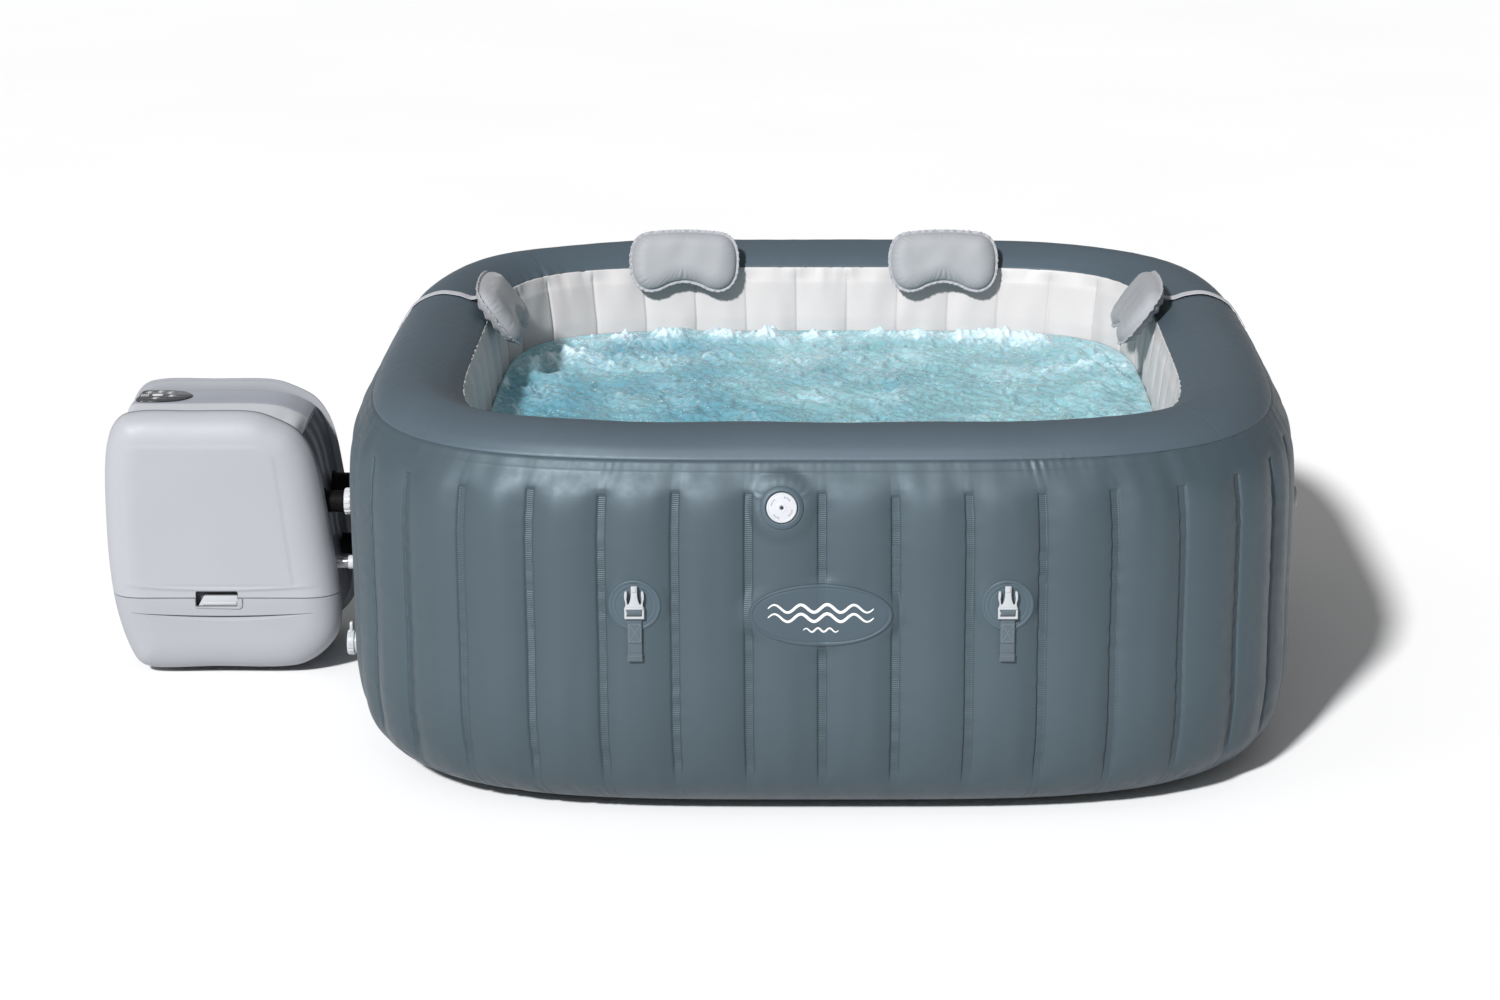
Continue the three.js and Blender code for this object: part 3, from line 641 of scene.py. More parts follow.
M = {
    "wall": vinyl("tub_vinyl", lin(57, 69, 76), 0.5, 1.0, hatch=True, spec=0.62, tint=(0.76, 0.9, 1.0)),
    "rim": vinyl("rim_vinyl", lin(68, 80, 89), 0.5, 0.9, spec=0.55, tint=(0.78, 0.91, 1.0)),
    "pad": vinyl("badge_vinyl", lin(63, 75, 83), 0.48, 0.8, spec=0.42, tint=(0.75, 0.9, 1.0)),
    "patch": vinyl("patch_vinyl", lin(69, 82, 90), 0.46, 0.8, spec=0.42, tint=(0.75, 0.9, 1.0)),
    "liner": vinyl("liner_vinyl", lin(188, 185, 185), 0.5, 0.5, var=0.02, spec=0.35),
    "web": vinyl("web_fabric", lin(224, 224, 226), 0.6, 1.3, var=0.05),
    "light": plastic("grey_plastic", lin(166, 170, 174), 0.34),
    "dial": plastic("dial_plastic", lin(176, 178, 183), 0.4, texture=600),
    "shell": plastic("shell_plastic", lin(153, 155, 160), 0.5, var=0.02, texture=520, bump=0.22, spec=0.35),
    # painted shade: a darker copy of the shell plastic for the lower door and latch surround
    "shell_painted_shade": plastic("shell_painted_shade", lin(147, 149, 154), 0.52, var=0.02, texture=520, bump=0.22, spec=0.33),
    "shell_in": plastic("shell_inner", lin(158, 160, 164), 0.55, var=0.03, texture=400),
    "latch": plastic("latch_plastic", lin(166, 168, 171), 0.42),
    "chassis": plastic("chassis_plastic", lin(112, 113, 121), 0.5, texture=360, bump=0.3),
    "console": plastic("console_plastic", lin(150, 153, 162), 0.42, texture=480),
    "panel": plastic("panel_black", lin(44, 45, 48), 0.22, var=0.12, texture=700, bump=0.05, coat=0.35),
    "key": plastic("key_plastic", lin(172, 174, 176), 0.4),
    "rubber": plastic("rubber", lin(9, 9, 10), 0.65, var=0.2, texture=300, bump=0.3, spec=0.12),
    "white": plastic("white_plastic", lin(186, 187, 190), 0.3, texture=500),
    "mark": plastic("white_print", lin(214, 215, 217), 0.5, texture=700, bump=0.1),
    # painted highlight: a lighter copy of the console plastic for its up-facing front slope
    "edge": plastic("console_painted_highlight", lin(172, 174, 179), 0.4, texture=480),
    "cup": plastic("latch_cup", lin(74, 76, 81), 0.6),
    "dark": plastic("dark_gap", lin(24, 25, 28), 0.7, var=0.2),
    "filter": fabric("filter_media", lin(228, 232, 238), 0.8),
    "steel": metal("steel", lin(196, 196, 198), 0.3),
    "chrome": metal("thread_metal", lin(206, 206, 210), 0.26),
    "motor": plastic("motor_metal", lin(60, 61, 64), 0.5, var=0.15, texture=260, bump=0.4, wear=0.15),
    "board": board("board"),
    "strap_grey": webbing("grey_webbing", lin(84, 96, 104)),
    "strap_light": webbing("light_webbing", lin(178, 180, 186)),
    "pillow": fabric("pillow_fabric", lin(145, 147, 151), 0.55),
    "welt": fabric("pillow_welt", lin(152, 154, 159), 0.55),
    "thread_light": stitch_mat("thread_light", lin(120, 132, 140)),
    "thread_grey": stitch_mat("thread_grey", lin(160, 170, 178)),
    "water": water_mat(),
}

# ------------------------------------------------------------ plan of the tub
HALF, PLAN, LINER_P, LINER_HALF, RIBS = 900.0, 3.9, 5.0, 680.6, 48


def radial(phi, n):
    return (np.abs(np.cos(phi)) ** n + np.abs(np.sin(phi)) ** n) ** (-1.0 / n)


_phi = np.linspace(-PI / 2, 3 * PI / 2, 28801)
_r = radial(_phi, PLAN)
_xy = np.stack([_r * np.cos(_phi), _r * np.sin(_phi)], 1)
_arc = np.concatenate([[0], np.cumsum(np.linalg.norm(np.diff(_xy, axis=0), axis=1))])
PERIM = _arc[-1] * HALF
PITCH = PERIM / RIBS


def angle_at(f):
    return np.interp(np.asarray(f) * _arc[-1], _arc, _phi)


def share_at(phi):
    phi = np.mod(np.asarray(phi) + PI / 2, 2 * PI) - PI / 2
    return np.interp(phi, _phi, _arc) / _arc[-1]


WALL_OUT = [(0, 170), (12, 100), (34, 52), (74, 18), (150, 2), (330, 0.4), (520, 0), (600, 10), (664.7, 45)]
WALL_IN = [(664.7, 49.5), (600, 15), (520, 5.5), (400, 5.5), (151, 8), (36, 60), (3, 171)]
RIM_OUT = [(665.3, 45.4), (686, 62), (702, 86), (710, 116), (706.5, 152), (691.5, 192), (671.3, 219.4)]
RIM_IN = [(671.3, 215), (688.6, 190), (703.3, 151), (706.6, 117), (699.2, 88.5), (683.6, 65.5), (665.3, 50)]

_wall = spline(WALL_OUT, 60)
_wall[:, 1] = np.maximum(_wall[:, 1], -0.3)

BADGE = (-2.0, 396.0, 127.0, 57.5)
PATCHES = {"left": (-329.0, 413.0), "right": (326.0, 413.0)}
DIAL = (-70.0, 591.0)
DIAL_TILT = math.radians(15.5)
DIAL_Y = -893.2   # back of the dial's flange at its centre
PATCH_R = 46.5


def dial_plane(z):
    return DIAL_Y + np.tan(DIAL_TILT) * (z - DIAL[1])


def near_fittings(x, z):
    """1 under the badge and the patches, 0 away from them."""
    e = np.hypot((x - BADGE[0]) / BADGE[2], (z - BADGE[1]) / BADGE[3])
    m = 1 - ramp(e, 0.97, 1.28)
    for px, pz in PATCHES.values():
        m = np.maximum(m, 1 - ramp(np.hypot(x - px, z - pz), PATCH_R - 2, PATCH_R + 14))
    return m


def gathered(f):
    """Where the seam is puckered: 1 in the middle of a puckered run, 0 away from them."""
    out = 0.0
    for c, a in ((0.0685, 1.0), (0.305, 0.8), (0.468, 0.6), (0.622, 0.9), (0.833, 0.75), (0.934, 0.3)):
        q = np.mod(np.asarray(f) - c + 0.5, 1.0) - 0.5
        out = out + a * np.exp(-(q / 0.0105) ** 4)
    return out


def wall_points(f, z, d, detail=True):
    """Outer wall in millimetres at arc share f and height z. Returns x, y, band."""
    phi = angle_at(np.mod(f, 1.0))
    k = np.round(f * RIBS)
    s = np.abs(f * RIBS - k) * PITCH          # distance from the nearest weld band
    side = np.sign(f * RIBS - k)
    ki = np.mod(k, RIBS).astype(int)
    g = np.random.default_rng(31)
    top = 611 + g.uniform(-3.5, 3.5, RIBS)    # where each band ends
    low = 62 + g.uniform(-9, 9, RIBS)
    depth = 9.6 + g.uniform(-1.1, 1.1, RIBS)
    t, b = top[ki], low[ki]
    r0 = (HALF - d) * radial(phi, PLAN)
    x0, y0 = r0 * np.cos(phi), r0 * np.sin(phi)
    hold = np.where(y0 < 0, near_fittings(x0, z), 0.0)
    bulge = (1 - ramp(z, 575, 648)) * ramp(z, 34, 120)
    band = (1 - ramp(z, t - 3.2, t + 3.2)) * ramp(z, b, b + 46)
    edge = 1 - ramp(s, 6.3, 9.2)
    half = PITCH / 2
    u = np.clip((half - s) / (half - 8.0), 0, 1)
    off = bulge * depth[ki] * u ** 2.1 * (1 - 0.72 * hold)
    off = off + band * 2.9 * edge * (1 - 0.8 * hold)
    # the cloth puffs up a little just above each band's square end
    off = off - 1.1 * np.exp(-((z - t - 10) / 9.0) ** 2) * np.exp(-(s / 15.0) ** 2)
    if detail:
        free = 1 - hold
        off = off + 0.30 * free * waves(f, z / 1000, (30, 150), (0.2, 2.2), 16, 5) * ramp(z, 20, 90)
        # pulled creases that run off the band edges
        cre = waves(f, z / 1000, (20, 60), (16, 30), 14, 9)
        off = off + free * 0.42 * cre * np.exp(-np.maximum(s - 9, 0) / 11.0) * bulge
        # gathers at the rim seam and round the foot
        ga = waves(f, z / 1000, (300, 420), (0.0, 1.0), 26, 12)
        off = off + (0.10 + 0.75 * gathered(f)) * ga * np.exp(-((664.7 - z) / 20.0) ** 2)
        cnr = np.abs(np.sin(2 * phi)) ** 3
        foot = waves(f, z / 1000, (130, 300), (0, 2), 22, 17)
        off = off + (0.5 + 4.6 * cnr) * np.exp(-(foot / 0.34) ** 2) * np.exp(-((z - 38) / 21.0) ** 2) * ramp(z, 0, 8)
        # narrow weld line below the seam, and the seam's own nick
        faint = 0.35 + 0.65 * (0.5 + 0.5 * np.tanh(2 * waves(f, 0 * z, (2, 9), (0, 1), 6, 21)))
        off = off - 0.75 * faint * np.exp(-((z - 646.5) / 1.9) ** 2)
        off = off + 1.9 * np.exp(-((664.7 - z) / 2.2) ** 2)
    r = (HALF - d - off) * radial(phi, PLAN)
    x, y = r * np.cos(phi), r * np.sin(phi)
    # the wall is drawn up flat under the air dial
    rd = np.hypot(x - DIAL[0], z - DIAL[1])
    m = np.where(y < 0, 1 - ramp(rd, 37, 66), 0.0)
    y = y + (dial_plane(z) + 0.5 - y) * m
    halo = np.where(y < 0, np.exp(-((rd - 47) / 6.0) ** 2), 0.0)
    ang = np.arctan2(z - DIAL[1], x - DIAL[0])
    y = y + halo * 0.55 * (np.cos(19 * ang + 0.6) + 0.7 * np.cos(31 * ang))
    for px, pz in PATCHES.values():
        rp = np.hypot(x - px, z - pz)
        hp = np.where(y < 0, np.exp(-((rp - PATCH_R - 3) / 4.0) ** 2), 0.0)
        y = y + hp * 0.9
    return x, y, band * edge


def front_y(x, z):
    """Outer wall's Y in millimetres at x, z on the front."""
    x, z = np.asarray(x, float), np.asarray(z, float)
    d = np.interp(z, _wall[:, 0], _wall[:, 1])
    h = HALF - d
    y = -(np.maximum(h ** PLAN - np.abs(x) ** PLAN, 1) ** (1 / PLAN))
    f = share_at(np.arctan2(y, x))
    f = np.where(f > 0.5, f - 1, f)
    return wall_points(f, z, d, detail=False)[1]


# ----------------------------------------------------------------- outer wall
def build_wall():
    s = [0, 2.6, 5.0, 6.3, 7.2, 8.2, 9.4, 12, 16, 21, 26.5, 32, 37.5, 43, 48.5, 54, 59.5, 64]
    half = PITCH / 2
    s = [v * half / 68.6 if v > 12 else v for v in s] + [half]
    col = sorted({-v for v in s[1:-1]} | set(s))
    f = np.concatenate([(k + np.array(col) / PITCH) / RIBS for k in range(RIBS)])
    path = resample(_wall, 92)
    extra = [3, 604, 606.5, 609, 611, 613, 615, 618, 642.5, 644.2, 645.6, 646.6, 647.8, 649.4, 651.5,
             656, 658.5, 660.5, 662, 663.2, 664]
    zs = np.array(sorted(set(np.round(path[:, 0], 3)) | set(extra)))
    keep = [zs[0]]
    for v in zs[1:]:
        if v - keep[-1] > 0.6:
            keep.append(v)
    keep[-1] = 664.7
    zs = np.array(keep)
    ds = np.interp(zs, _wall[:, 0], _wall[:, 1])
    F, Z = np.meshgrid(f, zs)
    D = np.repeat(ds[:, None], len(f), 1)
    x, y, band = wall_points(F, Z, D)
    outer = np.stack([x, y, Z], -1)
    inner = []
    phi = angle_at(np.mod(f, 1.0))
    for z, d in WALL_IN:
        r = (HALF - d - (8 if 60 < z < 640 else 0)) * radial(phi, PLAN)
        inner.append(np.stack([r * np.cos(phi), r * np.sin(phi), np.full_like(phi, z)], -1))
    rows = np.concatenate([outer, np.array(inner)])
    att = np.concatenate([band, np.zeros((len(inner), len(f)))])
    return mesh_piece("outer_wall", rows.reshape(-1, 3) * MM, grid_faces(len(rows), len(f), True, True), M["wall"],
                      "tub", "outer_wall", attrs={"band": att}, outward=True)


wall = build_wall()


# ------------------------------------------------------------------- the rim
_rim = spline(RIM_OUT, 60)


def rim_power(d):
    return PLAN + (LINER_P - PLAN) * ease((np.asarray(d) - 110) / 109)


def build_rim():
    n = 760
    f = np.linspace(0, 1, n, endpoint=False)
    base = angle_at(f)
    extra = []
    for c in (-PI / 4, PI / 4, 3 * PI / 4, 5 * PI / 4):
        fc = float(share_at(c))
        extra += [fc + q / PERIM for q in (-5, -3, -1.8, -0.9, 0, 0.9, 1.8, 3, 5)]
    f = np.array(sorted(set(np.round(np.mod(np.concatenate([f, extra]), 1.0), 7))))
    phi = angle_at(f)
    path = resample(_rim, 64)
    # extra rows next to both welds
    head = [(665.3, 45.4)]
    path = np.vstack([path[:1], (path[0] + path[1]) / 2 * 1.0, path[1:-1], (path[-2] + path[-1]) / 2, path[-1:]])
    zz, dd = path[:, 0], path[:, 1]
    t = np.gradient(path, axis=0)
    t /= np.linalg.norm(t, axis=1)[:, None]
    nz, nd = t[:, 1], -t[:, 0]          # outward normal in (z, d): up and out
    F, K = np.meshgrid(f, np.arange(len(path)))
    Z, D = zz[K], dd[K]
    out = np.zeros_like(Z)
    arc = np.concatenate([[0], np.cumsum(np.linalg.norm(np.diff(path, axis=0), axis=1))])
    A, L = arc[K], arc[-1]
    ga = waves(F, A / 1000, (300, 420), (0, 1), 26, 12)
    out += -(0.06 + 0.55 * gathered(F)) * ga * np.exp(-(A / 22.0) ** 2)
    out += -1.6 * np.exp(-(A / 2.2) ** 2)
    # soft waviness of the air chamber
    out += 0.8 * waves(F, A / 1000, (5, 18), (0.3, 2), 12, 41) * np.sin(PI * A / L)
    out += 0.10 * waves(F, A / 1000, (40, 120), (1, 8), 16, 43) * np.sin(PI * A / L)
    # creases that run out from the inner weld, in patches
    gi = waves(F, A / 1000, (90, 260), (0, 5), 24, 47)
    pl = ramp(waves(F, 0 * A, (3, 17), (0, 1), 9, 53), 0.1, 1.3)
    out += (0.15 + 0.8 * pl) * gi * np.exp(-((L - A) / 21.0) ** 2)
    out += -1.2 * np.exp(-((L - A) / 2.5) ** 2)
    # welded mitres across the corners
    for c in (-PI / 4, PI / 4, 3 * PI / 4, 5 * PI / 4):
        q = (F - float(share_at(c))) * PERIM
        q = np.where(q > PERIM / 2, q - PERIM, q)
        q = q + 9 * np.sin(PI * A / L)
        out += (-0.8 * np.exp(-(q / 1.6) ** 2) + 0.25 * np.exp(-((np.abs(q) - 5) / 2.5) ** 2)) * np.sin(PI * A / L) ** 0.5
    Zr, Dr = Z + out * nz[K], D + out * nd[K]
    half = HALF - Dr
    P = rim_power(D)
    ph = np.repeat(phi[None, :], len(path), 0)
    r = half * (np.abs(np.cos(ph)) ** P + np.abs(np.sin(ph)) ** P) ** (-1 / P)
    outer = np.stack([r * np.cos(ph), r * np.sin(ph), Zr], -1)
    inner = []
    for z, d in RIM_IN:
        p = float(rim_power(d))
        r = (HALF - d) * radial(phi, p)
        inner.append(np.stack([r * np.cos(phi), r * np.sin(phi), np.full_like(phi, z)], -1))
    rows = np.concatenate([outer, np.array(inner)])
    return mesh_piece("top_rim", rows.reshape(-1, 3) * MM, grid_faces(len(rows), len(f), True, True), M["rim"],
                      "tub", "top_rim", outward=True)


rim = build_rim()


# ----------------------------------------------------------------- the liner
def liner_half(z):
    return LINER_HALF - np.interp(z, [4.5, 300, 560, 640, 670.7], [14, 24, 20, 10, 0])


def build_liner():
    n_seg, per = 44, 17
    _p = np.linspace(-PI / 2, 3 * PI / 2, 14401)
    rr = radial(_p, LINER_P)
    xy = np.stack([rr * np.cos(_p), rr * np.sin(_p)], 1)
    ar = np.concatenate([[0], np.cumsum(np.linalg.norm(np.diff(xy, axis=0), axis=1))])
    total = ar[-1] * LINER_HALF
    pitch = total / n_seg
    s = np.array([-1, -0.86, -0.7, -0.52, -0.34, -0.2, -0.12, -0.07, -0.035, 0, 0.035, 0.07, 0.12, 0.2, 0.34, 0.52, 0.7, 0.86]) / 2
    f = np.concatenate([(k + 0.5 + s) / n_seg for k in range(n_seg)])
    phi = np.interp(np.mod(f, 1.0) * ar[-1], ar, _p)
    zs = np.concatenate([np.linspace(4.5, 480, 20), np.linspace(492, 640, 22)[:-1], np.linspace(640, 670.7, 12)])
    F, Z = np.meshgrid(f, zs)
    q = np.abs(np.mod(F * n_seg, 1.0) - 0.5) * pitch      # distance from a weld line
    bulge = ramp(Z, 4.5, 60) * (1 - ramp(Z, 640, 671))
    out = -bulge * 7.0 * (1 - np.clip(q / (pitch / 2), 0, 1)) ** 2.0
    out += -1.5 * np.exp(-(q / 2.4) ** 2) * (1 - ramp(Z, 650, 671)) * ramp(Z, 4.5, 40)
    out += 0.7 * waves(F, Z / 1000, (20, 90), (1, 6), 16, 61)
    g1 = waves(F, Z / 1000, (60, 200), (0, 6), 26, 63)
    pl = ramp(waves(F, 0 * Z, (4, 20), (0, 1), 9, 67), -0.2, 1.2)
    out += (0.2 + 0.9 * pl) * g1 * np.exp(-((671 - Z) / 40.0) ** 2)
    g2 = waves(F, Z / 1000, (90, 260), (4, 14), 20, 71)
    out += 0.22 * g2 * np.exp(-((671 - Z) / 16.0) ** 2)
    half = liner_half(Z) - out * 1.0 + 0.0
    ph = np.repeat(phi[None, :], len(zs), 0)
    r = half * radial(ph, LINER_P)
    inner = np.stack([r * np.cos(ph), r * np.sin(ph), Z], -1)
    back = []
    for z in (670.7, 640, 560, 300, 100, 4.5):
        r = (liner_half(z) + 12.0 - (8.5 if z in (670.7, 4.5) else 0)) * radial(phi, LINER_P)
        back.append(np.stack([r * np.cos(phi), r * np.sin(phi), np.full_like(phi, z)], -1))
    rows = np.concatenate([inner, np.array(back)])
    return mesh_piece("inner_liner", rows.reshape(-1, 3) * MM, grid_faces(len(rows), len(f), True, True), M["liner"],
                      "tub", "inner_liner", outward=True)


liner = build_liner()


# ----------------------------------------------------------------- the water
def build_water():
    n = 400
    LEVEL = 531.0
    a = np.linspace(-1, 1, n)
    A, B = np.meshgrid(a, a)
    big = np.maximum(np.abs(A), np.abs(B))
    ph = np.arctan2(B, A + 1e-12)
    # square grid stretched so that its edge lies on the liner
    half = float(liner_half(LEVEL)) - 1.0
    rad = half * radial(ph, LINER_P) * big
    X, Y = rad * np.cos(ph), rad * np.sin(ph)
    inside = 1 - ramp(big, 0.965, 1.0)
    g = np.random.default_rng(90)
    def ridge(lo, hi, k, seed):
        q = noise2(X, Y, lo, hi, k, seed)
        w = noise2(X + 9 * q, Y - 9 * q, lo, hi, k, seed + 50)
        return 1 - np.sqrt(w * w + 0.03) * 1.25
    h = 2.6 * noise2(X, Y, 110, 330, 14, 91) + 3.2 * ridge(60, 150, 14, 92) + 2.0 * ridge(26, 60, 20, 93) + 0.7 * ridge(11, 26, 26, 94)
    fine_r = ridge(14, 34, 24, 96)
    foam = 0.16 + 0.10 * noise2(X, Y, 120, 420, 12, 95) + 0.16 * np.clip(fine_r, 0, 1) ** 2 + 0.05 * noise2(X, Y, 14, 40, 20, 98)
    far = ramp(Y, 60, 430)
    foam += 0.13 * far
    # boils above the air tube round the foot of the liner, higher at the far wall
    wall_dist = (1 - big) * half
    ring = np.exp(-((wall_dist - 70) / 60.0) ** 2)
    h += ring * (8 + 4 * noise2(X, Y, 40, 120, 18, 97)) * (0.35 + 0.65 * far)
    foam += 0.15 * ring * (0.3 + 0.7 * far)
    peaks = [(-330, 560, 30, 46), (-210, 575, 20, 36), (-120, 560, 30, 34), (-20, 575, 14, 40), (120, 570, 18, 44),
             (205, 560, 32, 40), (300, 572, 34, 44), (380, 565, 30, 40), (450, 550, 26, 36), (-430, 540, 24, 40),
             (-520, 420, 22, 44), (-545, 240, 14, 40), (-540, 60, 18, 44), (545, 330, 18, 40), (560, 150, 20, 44),
             (552, -60, 16, 46), (540, -260, 14, 44), (-545, -160, 15, 46), (-300, -540, 16, 44), (60, -545, 18, 50),
             (360, -540, 16, 44), (-60, 250, 12, 80), (180, 90, 10, 90), (-260, 60, 10, 80), (330, -180, 12, 90)]
    for px, py, ph_, pw in peaks:
        q = np.exp(-(((X - px) / pw) ** 2 + ((Y - py) / (pw * 0.8)) ** 2))
        h += 0.66 * ph_ * q
        foam += 0.30 * q * (0.4 + 0.6 * far)
    # bubbles: many small domes, thicker where there is foam
    dens = np.clip(foam, 0.05, 1.0)
    cnt = 4200
    cx, cy = g.uniform(-half, half, cnt), g.uniform(-half, half, cnt)
    keep_p = g.uniform(0, 1, cnt)
    rr = 4.0 + 8.0 * g.uniform(0, 1, cnt) ** 4
    top = np.zeros_like(h)
    step = 2 * half / (n - 1)
    for i in range(cnt):
        gi = int(round((cy[i] / half + 1) / 2 * (n - 1)))
        gj = int(round((cx[i] / half + 1) / 2 * (n - 1)))
        gi, gj = min(max(gi, 0), n - 1), min(max(gj, 0), n - 1)
        if keep_p[i] > dens[gi, gj] ** 1.6:
            continue
        w = int(rr[i] / step) + 3
        a0, a1, b0, b1 = max(gi - w, 0), min(gi + w + 1, n), max(gj - w, 0), min(gj + w + 1, n)
        dx, dy = X[a0:a1, b0:b1] - X[gi, gj], Y[a0:a1, b0:b1] - Y[gi, gj]
        q = 1 - (dx * dx + dy * dy) / rr[i] ** 2
        np.maximum(top[a0:a1, b0:b1], rr[i] * 0.62 * np.sqrt(np.clip(q, 0, 1)), out=top[a0:a1, b0:b1])
    h += top
    foam += 0.022 * top
    # ragged crests on the boils
    crest = np.clip(h - 12, 0, None)
    h += 0.16 * crest * noise2(X, Y, 11, 26, 30, 99)
    foam += 0.02 * crest
    deep = np.clip(0.30 + 0.0009 * (-X) - 0.0003 * Y + 0.16 * noise2(X, Y, 150, 400, 10, 100), 0, 1) * 0.95
    Z = LEVEL + h * inside + (1 - inside) * 4.0
    v = np.stack([X, Y, Z], -1).reshape(-1, 3)
    faces = grid_faces(n, n, False, False)
    # underside: the edge ring repeated 26 mm down, then closed
    edge = np.concatenate([np.arange(n), (np.arange(1, n) * n + n - 1), ((n - 1) * n + np.arange(n - 2, -1, -1)),
                           (np.arange(n - 2, 0, -1) * n)])
    m = len(edge)
    low = v[edge].copy()
    low[:, 2] = LEVEL - 26
    base = len(v)
    q = np.arange(m)
    skirt = np.stack([edge[q], base + q, base + (q + 1) % m, edge[(q + 1) % m]], 1)
    centre = base + m
    v = np.vstack([v, low, [[0, 0, LEVEL - 26]]])
    fan = [[base + (i + 1) % m, base + i, centre] for i in range(m)]
    fo = np.concatenate([np.clip(foam, 0, 1.3).ravel(), np.zeros(m + 1)])
    de = np.concatenate([deep.ravel(), np.zeros(m + 1)])
    return mesh_piece("water", v * MM, faces.tolist() + skirt.tolist() + fan, M["water"], "tub",
                      attrs={"foam": fo, "deep": de}, outward=True)


water = build_water()

# --------------------------------------------------------- badge on the front
def ring_disc(radii, outline, n):
    """Rings of an outline scaled by each of radii. Rows."""
    return [outline * r for r in radii]


def conformal(name, outline, centre, profile, mat, body, cad=(), base_lift=0.0):
    """Pad that lies on the front wall. outline is about (0, 0); profile is a list of (inset, proud) in mm
    from the edge inwards, then continues to the middle at the last height."""
    m = len(outline)
    size = np.linalg.norm(outline, axis=1)
    rows, h = [], []
    for inset, proud in profile:
        rows.append(outline * (1 - inset / size)[:, None])
        h.append(np.full(m, proud))
    last = rows[-1]
    for k in np.linspace(1, 0, 15)[1:]:
        rows.append(last * max(k, 1e-4))
        h.append(np.full(m, profile[-1][1]))
    P, H = np.array(rows), np.array(h)
    x, z = P[..., 0] + centre[0], P[..., 1] + centre[1]
    y = front_y(x, z) - H - base_lift
    front = np.stack([x, y, z], -1)
    # a plain back just off the wall
    bx, bz = outline[:, 0] * 0.995 + centre[0], outline[:, 1] * 0.995 + centre[1]
    back1 = np.stack([bx, front_y(bx, bz) + 0.4, bz], -1)[None]
    back2 = np.stack([np.full(m, centre[0]), np.full(m, float(front_y(centre[0], centre[1])) + 0.4), np.full(m, centre[1])], -1)[None]
    back2 = back2 + (back1 - back2) * 1e-4
    allr = np.concatenate([front[::-1], back1, back2])
    v = allr.reshape(-1, 3) * MM
    return mesh_piece(name, v, grid_faces(len(allr), m), mat, body, cad, doubles=2e-5)


badge_outline = oval(BADGE[2], BADGE[3], 240)
badge = conformal("badge_plate", badge_outline, BADGE[:2],
                  [(0, 0.2), (0.3, 1.6), (1.0, 2.5), (2.0, 2.9), (5.0, 3.0), (6.0, 2.7), (6.8, 1.9), (7.4, 1.7), (8.2, 1.9),
                   (9.2, 2.2), (12, 2.35), (18, 2.4)], M["pad"], "tub", "badge_plate")


def wave_mark(name, x0, x1, zc, amp, length, stroke, lift):
    n = 160
    x = np.linspace(x0, x1, n)
    t = np.linspace(0, 1, n)
    z = zc + amp * np.sin(2 * PI * (x - x0) / length)
    dz = amp * 2 * PI / length * np.cos(2 * PI * (x - x0) / length)
    w = stroke / 2 * (0.25 + 0.75 * np.sin(PI * t) ** 0.5)
    nx, nz = -dz / np.hypot(1, dz), 1 / np.hypot(1, dz)
    rows = []
    for k, hh in ((-1.0, -0.3), (-1.0, 0.25), (-0.8, 0.5), (0, 0.6), (0.8, 0.5), (1.0, 0.25), (1.0, -0.3)):
        px, pz = x + nx * w * k, z + nz * w * k
        rows.append(np.stack([px, front_y(px, pz) - lift - hh, pz], -1))
    rows = np.array(rows).transpose(1, 0, 2)
    v, f = swept(rows)
    return mesh_piece(name, v * MM, f, M["mark"], "tub")


wave_mark("badge_wave_1", -95, 91, 409, 7.0, 46.5, 5.6, 2.45)
wave_mark("badge_wave_2", -95, 91, 392, 7.0, 46.5, 5.6, 2.45)
wave_mark("badge_wave_3", -33, 29, 369, 3.4, 20.67, 3.4, 2.45)


# ------------------------------------------------------------------- air dial
def dial_frame(v):
    """Local (x, z-up, out) rows in mm onto the tilted dial plane."""
    c, s = math.cos(DIAL_TILT), math.sin(DIAL_TILT)
    out = np.empty_like(v)
    out[:, 0] = DIAL[0] + v[:, 0]
    out[:, 1] = DIAL_Y + v[:, 1] * s - v[:, 2] * c
    out[:, 2] = DIAL[1] + v[:, 1] * c + v[:, 2] * s
    return out


def on_dial(name, profile, mat, body, cad=(), closed=False, segs=128, mod=None, round_r=0.4):
    prof = fillet(profile, round_r, 3, closed)
    v = revolve_points(prof, segs, mod)
    return mesh_piece(name, dial_frame(v) * MM, grid_faces(len(prof), segs, True, closed), mat, body, cad,
                      True, 40, doubles=1e-6)


R_DIAL, R_FLANGE = 26.7, 38.0
on_dial("dial_flange", [(0, 0), (R_FLANGE, 0), (R_FLANGE, 1.2), (R_FLANGE - 1.5, 2.6), (R_FLANGE - 5, 4.4), (R_DIAL + 4.2, 5.2),
                        (R_DIAL + 2.2, 5.0), (R_DIAL + 1.5, 4.4), (R_DIAL + 1.3, 1.9), (0, 1.9)],
        M["patch"], "tub", "dial_flange", round_r=0.8)


def grip(t, r, h):
    return r - np.where((r > R_DIAL - 1.2) & (h > 2.6), 0.35 * (np.cos(48 * t) > 0.3), 0.0)


on_dial("air_control_dial", [(0, 2.4), (R_DIAL - 0.4, 2.4), (R_DIAL, 3.0), (R_DIAL, 6.0), (R_DIAL - 1.4, 7.3), (R_DIAL - 3.4, 7.4),
                             (R_DIAL - 4.2, 6.9), (R_DIAL - 5.0, 7.2), (8.5, 7.2), (7.8, 7.6), (4.6, 7.6), (3.6, 6.6), (0, 6.6)],
        M["dial"], "air_dial", "air_control_dial", mod=grip, segs=192)
on_dial("dial_dot", [(0, 6.7), (3.4, 6.7), (3.0, 7.3), (0, 7.5)], M["dark"], "air_dial", segs=48)


